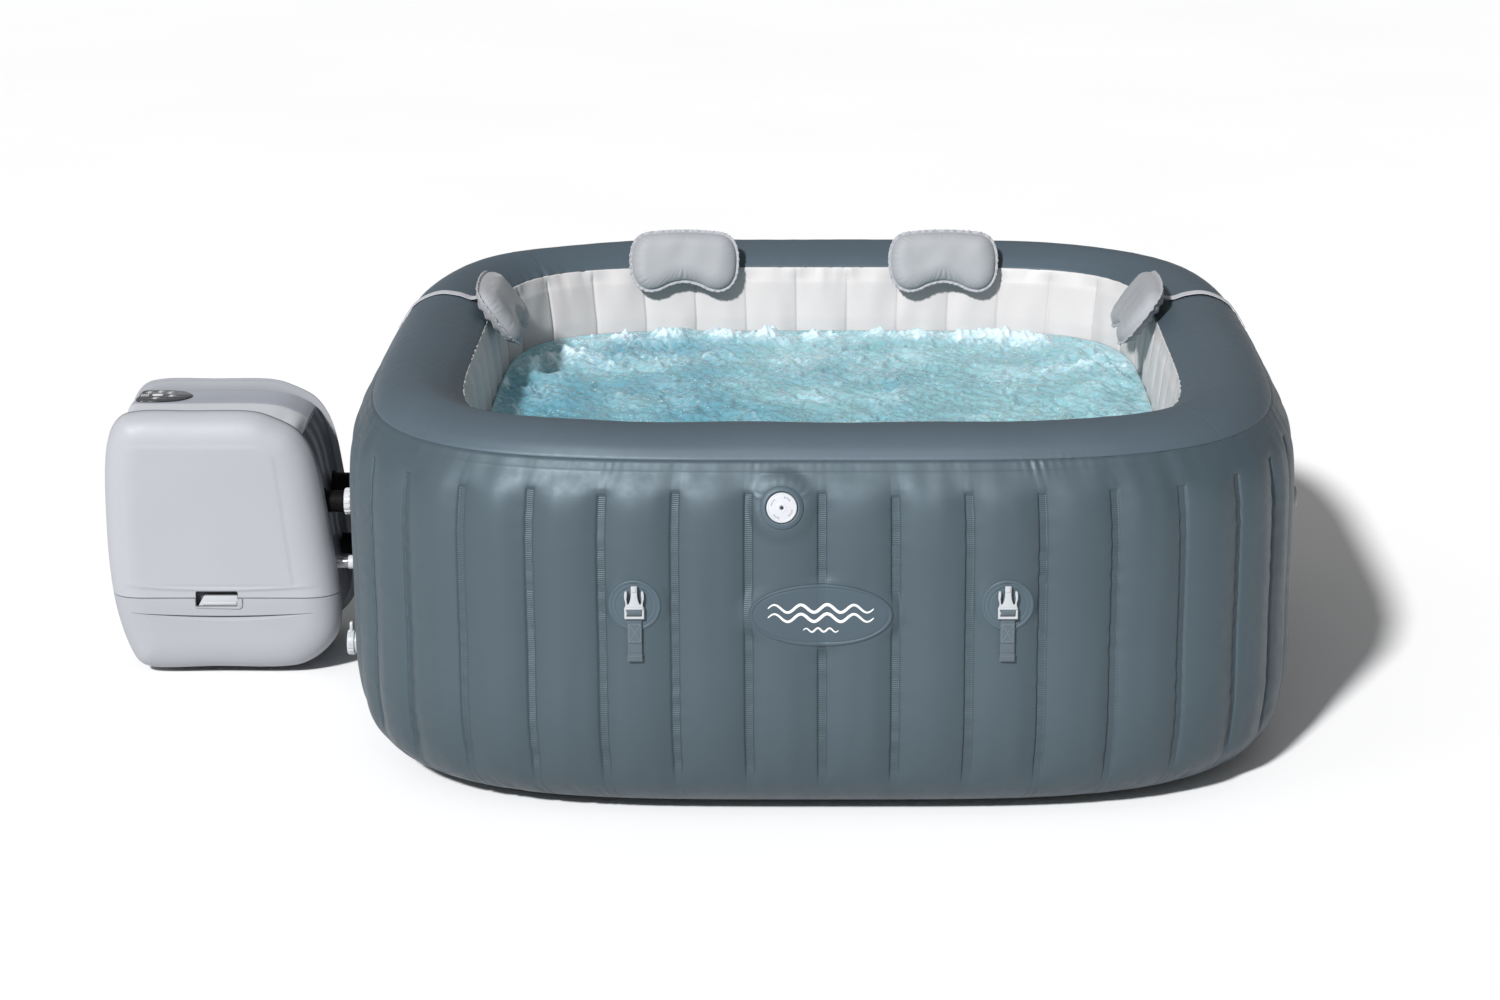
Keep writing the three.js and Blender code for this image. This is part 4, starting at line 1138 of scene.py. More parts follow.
def dial_marks():
    parts = []
    for grp in range(4):
        base = PI / 2 - 0.55 + grp * PI / 2
        for k in range(5):
            a = base + (k - 2) * 0.14
            r0, r1 = (17.0, 20.2) if k in (0, 4) else (17.8, 20.2)
            w = 0.42
            c, s = math.cos(a), math.sin(a)
            pts = [(r0 * c + w * s, r0 * s - w * c), (r1 * c + w * s, r1 * s - w * c), (r1 * c - w * s, r1 * s + w * c),
                   (r0 * c - w * s, r0 * s + w * c)]
            parts.append(flat_piece(f"dial_tick_{grp}_{k}", [pts], 0.5, 0.1, M["dark"],
                                    lambda v: dial_frame(v + np.array([0, 0, 6.95])), "air_dial", res=0))
    join_pieces(parts[0], *parts[1:])
    parts[0].name = "v_dial_ticks"


dial_marks()


# -------------------------------------------------------------- buckles
def front_plate(x0, z0, y_back, flip=False):
    """(u, v, w) rows: u to the right, v up, w towards the viewer from y_back."""
    def f(v):
        return np.stack([x0 + v[:, 0], y_back - v[:, 2], z0 + v[:, 1]], 1)
    return f


for side, (px, pz) in PATCHES.items():
    body_plug, body_tail = f"buckle_plug_{side}", f"strap_tail_{side}"
    circ = oval(PATCH_R, PATCH_R, 160)
    conformal(f"buckle_patch_{side}", circ, (px, pz),
              [(0, 0.2), (0.25, 1.1), (0.9, 1.7), (2.0, 1.8), (4.5, 1.8), (5.2, 1.5), (5.9, 1.0), (6.6, 0.95), (7.4, 1.25),
               (12.0, 1.5), (12.7, 1.3), (13.5, 0.75), (14.4, 0.75), (15.2, 1.2), (17, 1.4)],
              M["patch"], "tub", f"buckle_patch_{side}")
    yb = -900.9      # back of the plug
    bz = 391.0
    right = [(17.4, 0.0), (17.6, 20.5), (15.8, 22.5), (15.2, 27.0), (15.6, 31.0), (17.2, 36.0), (17.4, 44.0), (16.6, 49.5), (14.2, 51.5),
             (12.2, 49.5), (12.4, 43.0), (13.2, 37.0), (12.6, 30.0), (11.4, 26.0), (9.6, 27.0), (7.6, 32.0), (6.0, 39.0), (5.4, 47.0),
             (5.6, 52.0), (5.6, 59.0), (4.6, 60.0)]
    outer = [(-x, z) for x, z in right[::-1]][::-1]
    outer = right + [(-x, z) for x, z in right[::-1]]
    slot1 = [(-13.2, 4.4), (13.2, 4.4), (13.2, 8.6), (-13.2, 8.6)]
    slot2 = [(-13.2, 13.0), (13.2, 13.0), (13.2, 17.4), (-13.2, 17.4)]
    plug = flat_piece(f"buckle_plug_body_{side}", [fillet(outer, 1.2, 3), fillet(slot1, 1.2, 4)[::-1], fillet(slot2, 1.2, 4)[::-1]],
                      6.4, 1.2, M["light"], front_plate(px, bz, yb), body_plug, f"buckle_{side}", angle=50)
    rail = flat_piece(f"rail_{side}", [fillet([(-16.4, 17.8), (16.4, 17.8), (16.4, 21.6), (-16.4, 21.6)], 1.5, 3)], 8.4, 1.4, M["light"],
                      front_plate(px, bz, yb + 0.2), body_plug)
    tong = flat_piece(f"tong_{side}", [fillet([(-3.9, 50), (3.9, 50), (3.9, 58.6), (-3.9, 58.6)], 1.2, 3)], 8.2, 1.2, M["light"],
                      front_plate(px, bz, yb + 0.2), body_plug)
    join_pieces(plug, rail, tong)
    # webbing tail: threaded through the plug, hanging down, hem folded up at its end
    zz = np.array([-4.0, 1.0, 6.8, 7.6, 6.5, 2.0, -3.0])
    path = [(413.0, -902.6), (409.8, -906.2), (405.4, -909.2), (400.8, -908.6), (397.6, -905.2), (393.0, -902.2),
            (385.0, -900.8), (370.0, -900.2), (350.0, -899.9), (330.0, -899.9), (312.5, -900.1)]
    rows = resample(spline(path, 16), 110)
    line = np.stack([np.full(len(rows), px), rows[:, 1], rows[:, 0]], 1)
    sec = fillet([(-12.6, -0.75), (12.6, -0.75), (12.6, 0.75), (-12.6, 0.75)], 0.6, 3)
    sw = tube_points(line, sec, up=(0, -1, 0.001))
    # the threaded loop stays with the plug, the tail swings below it
    v, f = swept(sw[rows[:, 0] >= 388.6])
    mesh_piece(f"strap_loop_{side}", v * MM, f, M["strap_grey"], body_plug)
    v, f = swept(sw[rows[:, 0] <= 389.8])
    tail = mesh_piece(f"strap_web_{side}", v * MM, f, M["strap_grey"], body_tail, f"strap_{side}")
    hem = fillet([(-13.3, 311), (13.3, 311), (13.3, 325), (-13.3, 325)], 1.0, 3)
    hm = flat_piece(f"hem_{side}", [hem], 4.2, 1.2, M["strap_grey"], front_plate(px, 0, -899.0), body_tail)
    lay = flat_piece(f"layer_{side}", [fillet([(-12.4, 345), (12.4, 345), (12.4, 383), (-12.4, 383)], 1.0, 3)], 1.6, 0.5,
                     M["strap_grey"], front_plate(px, 0, -900.7), body_tail)
    join_pieces(tail, hm, lay)
    # stitching: a box with a cross, and two rows on the hem
    stitches = []

    def stitch_line(a, b, y, pitch=3.2):
        a, b = np.array(a, float), np.array(b, float)
        L = np.linalg.norm(b - a)
        k = max(int(L / pitch), 1)
        u = (b - a) / L
        for i in range(k):
            c = a + u * (i + 0.5) * L / k
            hh = u * pitch * 0.34
            p = np.array([[*(c - hh), y - 0.1], [*(c - hh * 0.5), y + 0.35], [*(c + hh * 0.5), y + 0.35], [*(c + hh), y - 0.1]])
            stitches.append(p)

    for y_off, lines in ((2.55, [((-10, 348), (10, 348)), ((10, 348), (10, 380)), ((10, 380), (-10, 380)), ((-10, 380), (-10, 348)),
                                 ((-10, 348), (10, 380)), ((10, 348), (-10, 380))]),
                         (4.2, [((-11.5, 314.5), (11.5, 314.5)), ((-11.5, 321.5), (11.5, 321.5))])):
        for a, b in lines:
            stitch_line(a, b, y_off)
    vs, fs = [], []
    ring6 = [(math.cos(k * PI / 3), math.sin(k * PI / 3)) for k in range(6)]
    for p in stitches:
        d = p[-1, :2] - p[0, :2]
        d = d / np.linalg.norm(d)
        side2 = np.array([-d[1], d[0]])
        base = len(vs)
        for q in p:
            for c, s in ring6:
                uv = q[:2] + side2 * 0.42 * c
                vs.append((px + uv[0], -899.4 - (q[2] + 0.4 * s), uv[1]))
        for r in range(3):
            for k in range(6):
                fs.append([base + r * 6 + k, base + r * 6 + (k + 1) % 6, base + (r + 1) * 6 + (k + 1) % 6, base + (r + 1) * 6 + k])
        fs.append([base + k for k in range(6)][::-1])
        fs.append([base + 18 + k for k in range(6)])
    mesh_piece(f"strap_stitches_{side}", np.array(vs) * MM, fs, M["thread_light"], body_tail)


# -------------------------------------------------------------- side valves
turned("inflation_valve_base", [(0, -26), (13, -26), (13, 0.4), (25, 0.4), (25, 1.6), (22, 3), (17, 4), (16, 5), (0, 5)],
       M["light"], "+x", (897.3, -300, 437), "tub", "inflation_valve_base")
turned("inflation_valve_cap", [(0, 0), (19, 0), (20.6, 1), (20.6, 5.6), (19, 7.4), (14, 8), (12, 7.2), (0, 7.2)], M["light"], "+x",
       (902.7, -300, 437), "inflation_cap", "inflation_valve_cap",
       mod=lambda t, r, h: r - np.where((r > 19.5) & (h > 0.5) & (h < 7), 0.7 * (np.cos(24 * t) > 0), 0), segs=192)
turned("drain_valve_body", [(10, -258), (24, -258), (24, -252), (15, -252), (15, -0.4), (28, -0.4), (28, 2), (25, 3.4), (22, 6),
                            (22, 10), (10, 10)], M["light"], "-x", (-897.4, -300, 143), "tub", "drain_valve_body",
       closed=True, mod=lambda t, r, h: r - np.where((r > 21) & (h > 6.2) & (h < 9.6), 0.8 * (np.sin(3 * t + h) > 0), 0))
dcap = turned("drain_cap", [(0, 0), (24.4, 0), (25, 1), (25, 10.5), (23, 13.4), (17, 14), (15, 12.6), (0, 12.6)], M["light"], "-x",
              (-907.8, -300, 143), "drain_plug", "drain_cap", segs=192,
              mod=lambda t, r, h: r - np.where((r > 24) & (h > 1.2) & (h < 12), 0.9 * (np.cos(20 * t) > 0), 0))
tab = flat_piece("drain_tab", [fillet([(-7, 17), (7, 17), (7, 36), (4, 42), (-4, 42), (-7, 36)], 2.5, 4)], 6, 1.4, M["light"],
                 lambda v: np.stack([-910.8 - v[:, 2], -300 + v[:, 0], 143 + v[:, 1]], 1), "drain_plug")
join_pieces(dcap, tab)

# ------------------------------------------------------------------- pillows
PILLOW = [(-90, 62), (-50, 68), (0, 70), (50, 68), (90, 62), (108, 48), (117.5, 24), (119, -6), (114, -36),
          (100, -57), (78, -67), (54, -64), (30, -53), (0, -47), (-30, -53), (-54, -64), (-78, -67), (-100, -57),
          (-114, -36), (-119, -6), (-117.5, 24), (-108, 48)]
PILLOWS = {
    "back_left": ((-299, 653, 690), 20, 0), "back_right": ((263, 653, 690), 20, 0),
    "side_left": ((-655, 250, 684), 37, PI / 2), "side_right": ((646, 250, 684), 37, -PI / 2),
}


def pillow_world(local, centre, lean, turn):
    """(u, w, t) rows to millimetres in the tub's frame."""
    a = math.radians(lean)
    u, w, t = local[:, 0], local[:, 1], local[:, 2]
    x, y, z = u, t * math.cos(a) + w * math.sin(a), -t * math.sin(a) + w * math.cos(a)
    c, s = math.cos(turn), math.sin(turn)
    return np.stack([centre[0] + c * x - s * y, centre[1] + s * x + c * y, centre[2] + z], 1)


def dist_to(outline, pts):
    a, b = outline, np.roll(outline, -1, 0)
    best = np.full(len(pts), 1e9)
    for i in range(len(a)):
        ab = b[i] - a[i]
        ap = pts - a[i]
        t = np.clip((ap @ ab) / (ab @ ab), 0, 1)
        best = np.minimum(best, np.hypot(*(ap - t[:, None] * ab).T))
    return best


def build_pillow(key):
    centre, lean, turn = PILLOWS[key]
    seed = 200 + 10 * list(PILLOWS).index(key)
    m = 300
    side_pillow = key.startswith("side")
    out = resample(spline(PILLOW, 16, True), m, True)
    if side_pillow:
        out = out * np.array([1.06, 1.1])
    c0 = np.array([0.0, 6.0])
    tt = np.linspace(0, 1, m, endpoint=False)
    nrm = np.stack([np.gradient(out[:, 1], edge_order=1), -np.gradient(out[:, 0])], 1)
    nrm = np.stack([np.roll(out[:, 1], -1) - np.roll(out[:, 1], 1), -(np.roll(out[:, 0], -1) - np.roll(out[:, 0], 1))], 1)
    nrm /= np.linalg.norm(nrm, axis=1)[:, None]
    if ((out - c0) * nrm).sum() < 0:
        nrm = -nrm
    scales = np.concatenate([[1.0, 0.992, 0.982, 0.968, 0.95, 0.93, 0.905, 0.875, 0.84, 0.80, 0.755, 0.705, 0.65, 0.59, 0.52, 0.44,
                              0.36, 0.28, 0.20, 0.12, 0.05, 0.0005]])
    flange = 6.5
    panel = out - nrm * flange

    def face(front):
        rows = []
        sgn = -1.0 if front else 1.0
        for s in scales:
            p = c0 + (panel - c0) * s
            e = dist_to(panel, p)
            q = 1 - np.clip(e / (36.0 if front else 32.0), 0, 1)
            crown = np.sqrt(np.clip(1 - q ** 2.3, 0, 1)) ** 1.1
            full = (22.0, 17.0) if side_pillow else (19.0, 14.0)
            h = 1.2 + full[0 if front else 1] * crown
            # creases that run in from the seam, strongest in the notch and at the corners
            w1 = waves(tt, 0 * tt, (26, 60), (0, 1), 18, seed + (1 if front else 2))
            w2 = waves(tt, 0 * tt, (60, 110), (0, 1), 18, seed + (3 if front else 4))
            inlet = np.exp(-((out[:, 0]) / 40.0) ** 2) * (out[:, 1] < 0)
            notch = 0.10 + 0.95 * inlet + 0.16 * ramp(np.abs(out[:, 0]), 80, 112)
            h = h + notch * 1.0 * w1 * np.exp(-((e - 9) / 9.0) ** 2) * ramp(e, 0, 5)
            h = h + (0.28 + 0.35 * inlet) * w2 * np.exp(-((e - 3.0) / 3.6) ** 2) * ramp(e, 0, 3)
            h = h + 0.7 * noise2(p[:, 0], p[:, 1], 50, 130, 8, seed + 5) * crown
            if side_pillow:
                # long soft folds along the pillow
                h = h + (0.35 if front else 2.2) * np.sin(2 * PI * (p[:, 1] / 26.0 + 0.35 * noise2(p[:, 0], p[:, 1], 90, 200, 6, seed + 8))) \
                    * np.exp(-((e - 16) / 12.0) ** 2) * ramp(e, 1, 8)
            rows.append(np.stack([p[:, 0], p[:, 1], sgn * h], 1))
        return rows

    fr = face(True)
    bk = face(False)
    # flat weld flange round the edge, a little wavy
    band = []
    pk = 0.5 * waves(tt, 0 * tt, (40, 100), (0, 1), 20, seed + 7)
    wv = 0.9 * waves(tt, 0 * tt, (20, 60), (0, 1), 16, seed + 9)
    for o, t in ((-flange + 0.8, -0.7), (-flange + 1.8, -1.1), (-3.2, -1.3), (-1.0, -1.5), (-0.2, -1.1), (0.1, 0.0), (-0.2, 1.1), (-1.0, 1.5),
                 (-3.2, 1.3), (-flange + 1.8, 1.1), (-flange + 0.8, 0.7)):
        k = (o + flange) / flange
        band.append(np.stack([(out + nrm * (o + pk * k)[:, None])[:, 0], (out + nrm * (o + pk * k)[:, None])[:, 1], t + wv * k], 1))
    rows = fr[::-1] + band + bk
    R = np.array(rows)
    R[:, :, 2] += 3.0
    v = pillow_world(R.reshape(-1, 3), centre, lean, turn) * MM
    o = mesh_piece(f"pillow_{key}_cushion", v, grid_faces(len(rows), m), M["pillow"], f"pillow_unit_{key}", f"pillow_{key}",
                   doubles=8e-5)
    o.data.materials.append(M["welt"])
    # the side band is the lighter welt
    k0 = len(scales)
    cnt = len(o.data.polygons)
    co = np.zeros(cnt * 3)
    o.data.polygons.foreach_get("center", co)
    co = co.reshape(-1, 3) / MM
    a = math.radians(lean)
    c, s = math.cos(turn), math.sin(turn)
    dx, dy, dz = co[:, 0] - centre[0], co[:, 1] - centre[1], co[:, 2] - centre[2]
    ly = -s * dx + c * dy
    lu = c * dx + s * dy
    t_ = ly * math.cos(a) - dz * math.sin(a)
    w_ = ly * math.sin(a) + dz * math.cos(a)
    edge = dist_to(out, np.stack([lu, w_], 1))
    o.data.polygons.foreach_set("material_index", ((np.abs(t_ - 3.0) < 3.4) & (edge < flange - 1.2)).astype(np.int32))
    return o


for key in PILLOWS:
    build_pillow(key)


def rim_height(d):
    return np.interp(d, _rim[:, 1], _rim[:, 0])


def build_strap(key):
    centre, lean, turn = PILLOWS[key]
    across = centre[0] if key.startswith("back") else centre[1]
    end = {"back_left": (211, 700.5), "back_right": (211, 700.5), "side_left": (196.5, 704), "side_right": (205, 704)}[key]
    drift = HALF - HALF * (1 - (abs(across) / HALF) ** PLAN) ** (1 / PLAN)
    over = [(30, 640), (45, 665), (62, 687), (86, 703.4), (116, 712), (152, 708.6), (180, 699.8), end]
    path = resample(spline(over, 20), 90)
    t = np.gradient(path, axis=0)
    t /= np.linalg.norm(t, axis=1)[:, None]
    nd, nz = -t[:, 1], t[:, 0]
    wv = 0.35 * np.sin(np.linspace(0, 9, len(path))) + 0.25 * np.sin(np.linspace(1, 23, len(path)))
    lift = 1.7 + wv * 0.6
    d = path[:, 0] + nd * lift + drift
    z = path[:, 1] + nz * lift
    sec = fillet([(-14.6, -0.8), (14.6, -0.8), (14.6, 0.8), (-14.6, 0.8)], 0.7, 3)
    w = sec[:, 0]
    rows = []
    for i in range(len(path)):
        q = sec[:, 1]
        dd, zz = d[i] + nd[i] * q, z[i] + nz[i] * q
        if key.startswith("back"):
            p = np.stack([across + w, HALF - dd, zz], 1)
        elif key == "side_left":
            p = np.stack([-HALF + dd, across + w, zz], 1)
        else:
            p = np.stack([HALF - dd, across + w, zz], 1)
        rows.append(p)
    v, f = swept(np.array(rows))
    o = mesh_piece(f"pillow_strap_{key}_web", v * MM, f, M["strap_light"], f"pillow_unit_{key}", f"pillow_strap_{key}")
    return o


for key in PILLOWS:
    build_strap(key)

# ---------------------------------------------------------------------- pump
PUMP_OUTLINE = [
    (-1358, 12), (-1220, 12), (-1083, 12), (-1043, 20), (-1003, 46), (-974.6, 84), (-966.5, 130),
    (-971, 205), (-979, 272), (-987, 339), (-1003, 436), (-1020, 479), (-1043, 508), (-1083, 530),
    (-1124, 543), (-1250, 545), (-1352, 544.6), (-1386, 536), (-1407, 513), (-1419, 480),
    (-1425.5, 438), (-1429.6, 348), (-1428, 217), (-1418, 130), (-1398, 58), (-1380, 24)]
NP = 400
shell_line = resample(spline(PUMP_OUTLINE, 20, True), NP, True)
shell_mid = np.array([-1200.0, 278.0])
_n = np.stack([np.roll(shell_line[:, 1], -1) - np.roll(shell_line[:, 1], 1),
               -(np.roll(shell_line[:, 0], -1) - np.roll(shell_line[:, 0], 1))], 1)
_n /= np.linalg.norm(_n, axis=1)[:, None]
if ((shell_line - shell_mid) * _n).sum() < 0:
    _n = -_n


def shell_face(depth_path, sgn_in, thickness, extra=None):
    """Closed dish: outside by distance from the outline, inside a thickness deeper."""
    dp = spline(depth_path, 20)
    scales = np.concatenate([1 - np.linspace(0, 0.02, 7)[:-1], 1 - np.linspace(0.02, 0.12, 17)[:-1], 1 - np.linspace(0.12, 0.34, 26)[:-1],
                             np.linspace(0.66, 0.22, 54)[:-1], np.linspace(0.22, 0.0005, 8)])
    outer, inner = [], []
    for s in scales:
        p = shell_mid + (shell_line - shell_mid) * s
        e = dist_to(shell_line, p)
        y = np.interp(e, dp[:, 0], dp[:, 1])
        if extra is not None:
            y = y + extra(p[:, 0], p[:, 1], e)
        outer.append(np.stack([p[:, 0], y, p[:, 1]], 1))
    inset_line = shell_line - _n * thickness
    for s in scales[::2]:
        p = shell_mid + (inset_line - shell_mid) * s
        e = dist_to(shell_line, p)
        y = np.interp(np.maximum(e - thickness, 0), dp[:, 0], dp[:, 1]) + sgn_in * thickness
        y = np.where(e <= thickness * 1.05, dp[0, 1], y)
        inner.append(np.stack([p[:, 0], y, p[:, 1]], 1))
    rows = np.array(outer[::-1] + inner)
    return rows


FRONT_DEPTH = [(0, -60), (2.2, -72), (9, -84.5), (17, -93.5), (28, -101), (40, -105.8), (52, -108.6), (66, -110), (90, -110), (400, -110)]
REAR_DEPTH = [(0, 192), (2.2, 204), (9, 215.5), (18, 224), (30, 232), (44, 237), (60, 240), (90, 240), (400, 240)]


def belly(x, z, e):
    """Slight barrel of the front face, and the raised line over the door."""
    right = -1057.0 - (z - 205.0) * 0.105
    k = ramp(x, -1388, -1378) * (1 - ramp(x - right, -5, 5))
    k = k * (1 - ramp(z - (484.0 - 46.0 * np.clip((x + 1125.0) / 60.0, 0, 2) ** 2), -5, 5)) * ramp(z, 194, 200)
    y = -1.1 * k * ramp(e, 18, 40)
    # raised bow line on the door's brow
    u = (x + 1200) / 200.0
    zc = 197.5 - 9.5 * (1 - np.clip(u, -1, 1) ** 2)
    w = np.clip(1 - np.abs(u) ** 6, 0, 1)
    y = y - 1.6 * w * np.exp(-((z - zc) / 3.6) ** 2) * ramp(e, 12, 34)
    y = y + 1.4 * w * ramp(zc - z, 0, 5) * (1 - ramp(zc - z, 14, 34)) * ramp(e, 12, 34)
    return y


def cut_shell(rows, keep_above=None, keep_below=None):
    nr, nc, _ = rows.shape
    me = bpy.data.meshes.new("tmp_shell")
    me.from_pydata((rows.reshape(-1, 3) * MM).tolist(), [], grid_faces(nr, nc).tolist())
    bm = bmesh.new()
    bm.from_mesh(me)
    bmesh.ops.remove_doubles(bm, verts=bm.verts, dist=2e-4 * 0.5)
    for z, above in ((keep_above, True), (keep_below, False)):
        if z is None:
            continue
        geom = bm.verts[:] + bm.edges[:] + bm.faces[:]
        bmesh.ops.bisect_plane(bm, geom=geom, plane_co=(0, 0, z * MM), plane_no=(0, 0, 1), dist=1e-7,
                               clear_inner=above, clear_outer=not above)
        bnd = [e for e in bm.edges if e.is_boundary]
        bmesh.ops.holes_fill(bm, edges=bnd, sides=0)
    bmesh.ops.recalc_face_normals(bm, faces=bm.faces)
    bm.to_mesh(me)
    bm.free()
    return me


def rounded_block(name, x0, x1, y0, y1, z0, z1, r, segs=3):
    me = bpy.data.meshes.new(name)
    bm = bmesh.new()
    bmesh.ops.create_cube(bm, size=1.0)
    for v in bm.verts:
        v.co = ((x0 + x1) / 2 * MM + v.co.x * (x1 - x0) * MM, (y0 + y1) / 2 * MM + v.co.y * (y1 - y0) * MM,
                (z0 + z1) / 2 * MM + v.co.z * (z1 - z0) * MM)
    bmesh.ops.bevel(bm, geom=bm.edges[:], offset=r * MM, segments=segs, profile=0.5, affect="EDGES")
    bmesh.ops.recalc_face_normals(bm, faces=bm.faces)
    bm.to_mesh(me)
    bm.free()
    o = bpy.data.objects.new(name, me)
    scene.collection.objects.link(o)
    return o


def object_from(me, name):
    me.name = "v_" + name
    o = bpy.data.objects.new("v_" + name, me)
    scene.collection.objects.link(o)
    return o


DOOR_Z = 170.0
rows = shell_face(FRONT_DEPTH, 1, 4.2, belly)
whole = cut_shell(rows)
whole.name = "front_reference"
front = object_from(cut_shell(rows, keep_above=DOOR_Z + 1.0), "pump_front")
door = object_from(cut_shell(rows, keep_below=DOOR_Z - 1.0), "pump_door")
boolean(front, rounded_block("c1", -1251.0, -1166.5, -140, -50, 120, 184.5, 4))
boolean(door, rounded_block("c2", -1251.0, -1166.5, -140, -50, 152.5, 215, 4))


def crescent():
    """Cutter for the finger groove across the door."""
    u = np.linspace(-1, 1, 80)
    x = -1200 + 182 * u
    z = 137.5 - 11.0 * (1 - u ** 2) + 1.0
    hgt = 5.4 * (1 - np.abs(u) ** 2.2) + 0.45
    e = dist_to(shell_line, np.stack([x, z], 1))
    dp = spline(FRONT_DEPTH, 20)
    y = np.interp(e, dp[:, 0], dp[:, 1])
    cut_, back_ = [], []
    for i in range(len(u)):
        h = hgt[i]
        deep = 1.2 + 8.5 * h / 5.85
        sec = fillet([(-14, -h), (12, -h), (12, h), (-14, h)], 0.1, 2)
        cut_.append(np.stack([np.full(len(sec), x[i]), y[i] + sec[:, 0], z[i] + sec[:, 1]], 1))
        sec = np.array([(0.35, -h - 0.02), (deep * 0.45, -h * 0.2), (deep, h * 0.75), (deep + 0.4, h + 0.8), (deep + 2.2, h + 0.8),
                        (deep * 0.45 + 2.6, -h * 0.4), (2.6, -h - 0.9), (1.2, -h - 0.9)])
        back_.append(np.stack([np.full(len(sec), x[i]), y[i] + sec[:, 0], z[i] + sec[:, 1]], 1))
    v, f = swept(np.array(cut_))
    w, g = swept(np.array(back_))
    return loose("c3", v * MM, f), loose("c4", w * MM, g)


cut3, slope3 = crescent()
boolean(door, cut3)
join_pieces(door, slope3)
finish_piece(front, M["shell"], "tub", "pump_front_shell", True, 32)
# the door takes the darker copy of the shell plastic, painted shade
finish_piece(door, M["shell_painted_shade"], "door", "access_door", True, 32)
for o_ in (front, door):
    steady_normals(o_, whole)
bpy.data.meshes.remove(whole)

# latch in its recess
lat = flat_piece("door_latch_tongue", [fillet([(-34.6, -14.3), (44.6, -14.3), (44.6, 6.3), (-23.0, 6.3)], [2.0, 2.5, 2.0, 3.0], 5)], 9, 1.0, M["latch"],
                 front_plate(-1212, 167.5, -97.5), "latch", "door_latch")
ledge = flat_piece("latch_ledge", [fillet([(-27, -12.0), (42, -12.0), (42, -5.5), (-24.5, -5.5)], 2.5, 4)], 3.5, 1.2, M["latch"],
                   front_plate(-1212, 167.5, -105), "latch")
join_pieces(lat, ledge)
frame_out = fillet([(-1254.5, 150.0), (-1158.5, 150.0), (-1158.5, 169.0), (-1254.5, 169.0)], [5, 7, 0.3, 0.3], 6)
frame_in = fillet([(-1251.2, 153.5), (-1166.7, 153.5), (-1166.7, 168.9), (-1251.2, 168.9)], [2, 3, 0.1, 0.1], 4)
# the latch surround takes the darker copy of the shell plastic, painted shade
lip = flat_piece("latch_surround", [[tuple(p) for p in np.array([(-1254.5, 169.0), (-1254.5, 155.0), (-1250.5, 150.0), (-1165.0, 147.5),
                                                                 (-1159.5, 150.0), (-1157.5, 155.0), (-1157.5, 169.0), (-1166.4, 169.0), (-1166.4, 154.5),
                                                                 (-1168.0, 152.6), (-1249.5, 152.6), (-1251.2, 154.5), (-1251.2, 169.0)])]],
                 5.0, 1.3, M["shell_painted_shade"], lambda v: np.stack([v[:, 0], -107.6 - v[:, 2], v[:, 1]], 1), "door")
cup = rounded_block("v_latch_recess", -1254, -1163.5, -92.7, -89.2, 149, 187, 1.6)
finish_piece(cup, M["cup"], "door")

rear = object_from(cut_shell(shell_face(REAR_DEPTH, -1, 4.2)), "pump_rear")
ring_ = [(3.9, 199.0), (3.6, 194.0), (4.6, 192.6), (8.0, 192.3), (20.0, 193.2), (34.0, 195.5), (34.0, 199.5)]
rows = np.array([np.stack([(shell_line - _n * a)[:, 0], np.full(NP, b), (shell_line - _n * a)[:, 1]], 1) for a, b in ring_])
join_pieces(rear, loose("c5", rows.reshape(-1, 3) * MM, grid_faces(len(rows), NP, True, True)))
finish_piece(rear, M["shell"], "tub", "pump_rear_shell", True, 32)


# chassis band with soft channels, on its base
def build_chassis():
    ys = np.linspace(-59.7, 191.7, 84)
    line = shell_line - _n * 14.0
    zlo, zhi = 6.0, 496.0
    rows_ = []
    for y in ys:
        u = (y + 59.7) / 251.4
        ch = 0.0
        for c in (0.24, 0.5, 0.76):
            ch += 2.8 * (1 - ramp(abs(u - c), 0.02, 0.115))
        ch -= 0.0
        lip = 2.0 * (1 - ramp(min(u, 1 - u), 0.0, 0.03))
        p = line - _n * (ch + lip * 0.0)
        rows_.append(np.stack([p[:, 0], np.full(NP, y), np.clip(p[:, 1], zlo, zhi)], 1))
    inner_ = []
    line2 = shell_line - _n * 21.0
    for y in ys[::-6]:
        inner_.append(np.stack([line2[:, 0], np.full(NP, y), np.clip(line2[:, 1], zlo + 4, zhi - 4)], 1))
    rows_ = np.array(rows_ + inner_)
    o = mesh_piece("pump_chassis_band", rows_.reshape(-1, 3) * MM, grid_faces(len(rows_), NP, True, True), M["chassis"], "tub",
                   "pump_chassis", True, 40)
    base = rounded_block("base", -1335, -1100, -15, 175, 0, 28, 4)
    join_pieces(o, base)
    for p in o.data.polygons:
        p.use_smooth = True
    o.data.set_sharp_from_angle(angle=math.radians(40))
    return o


build_chassis()


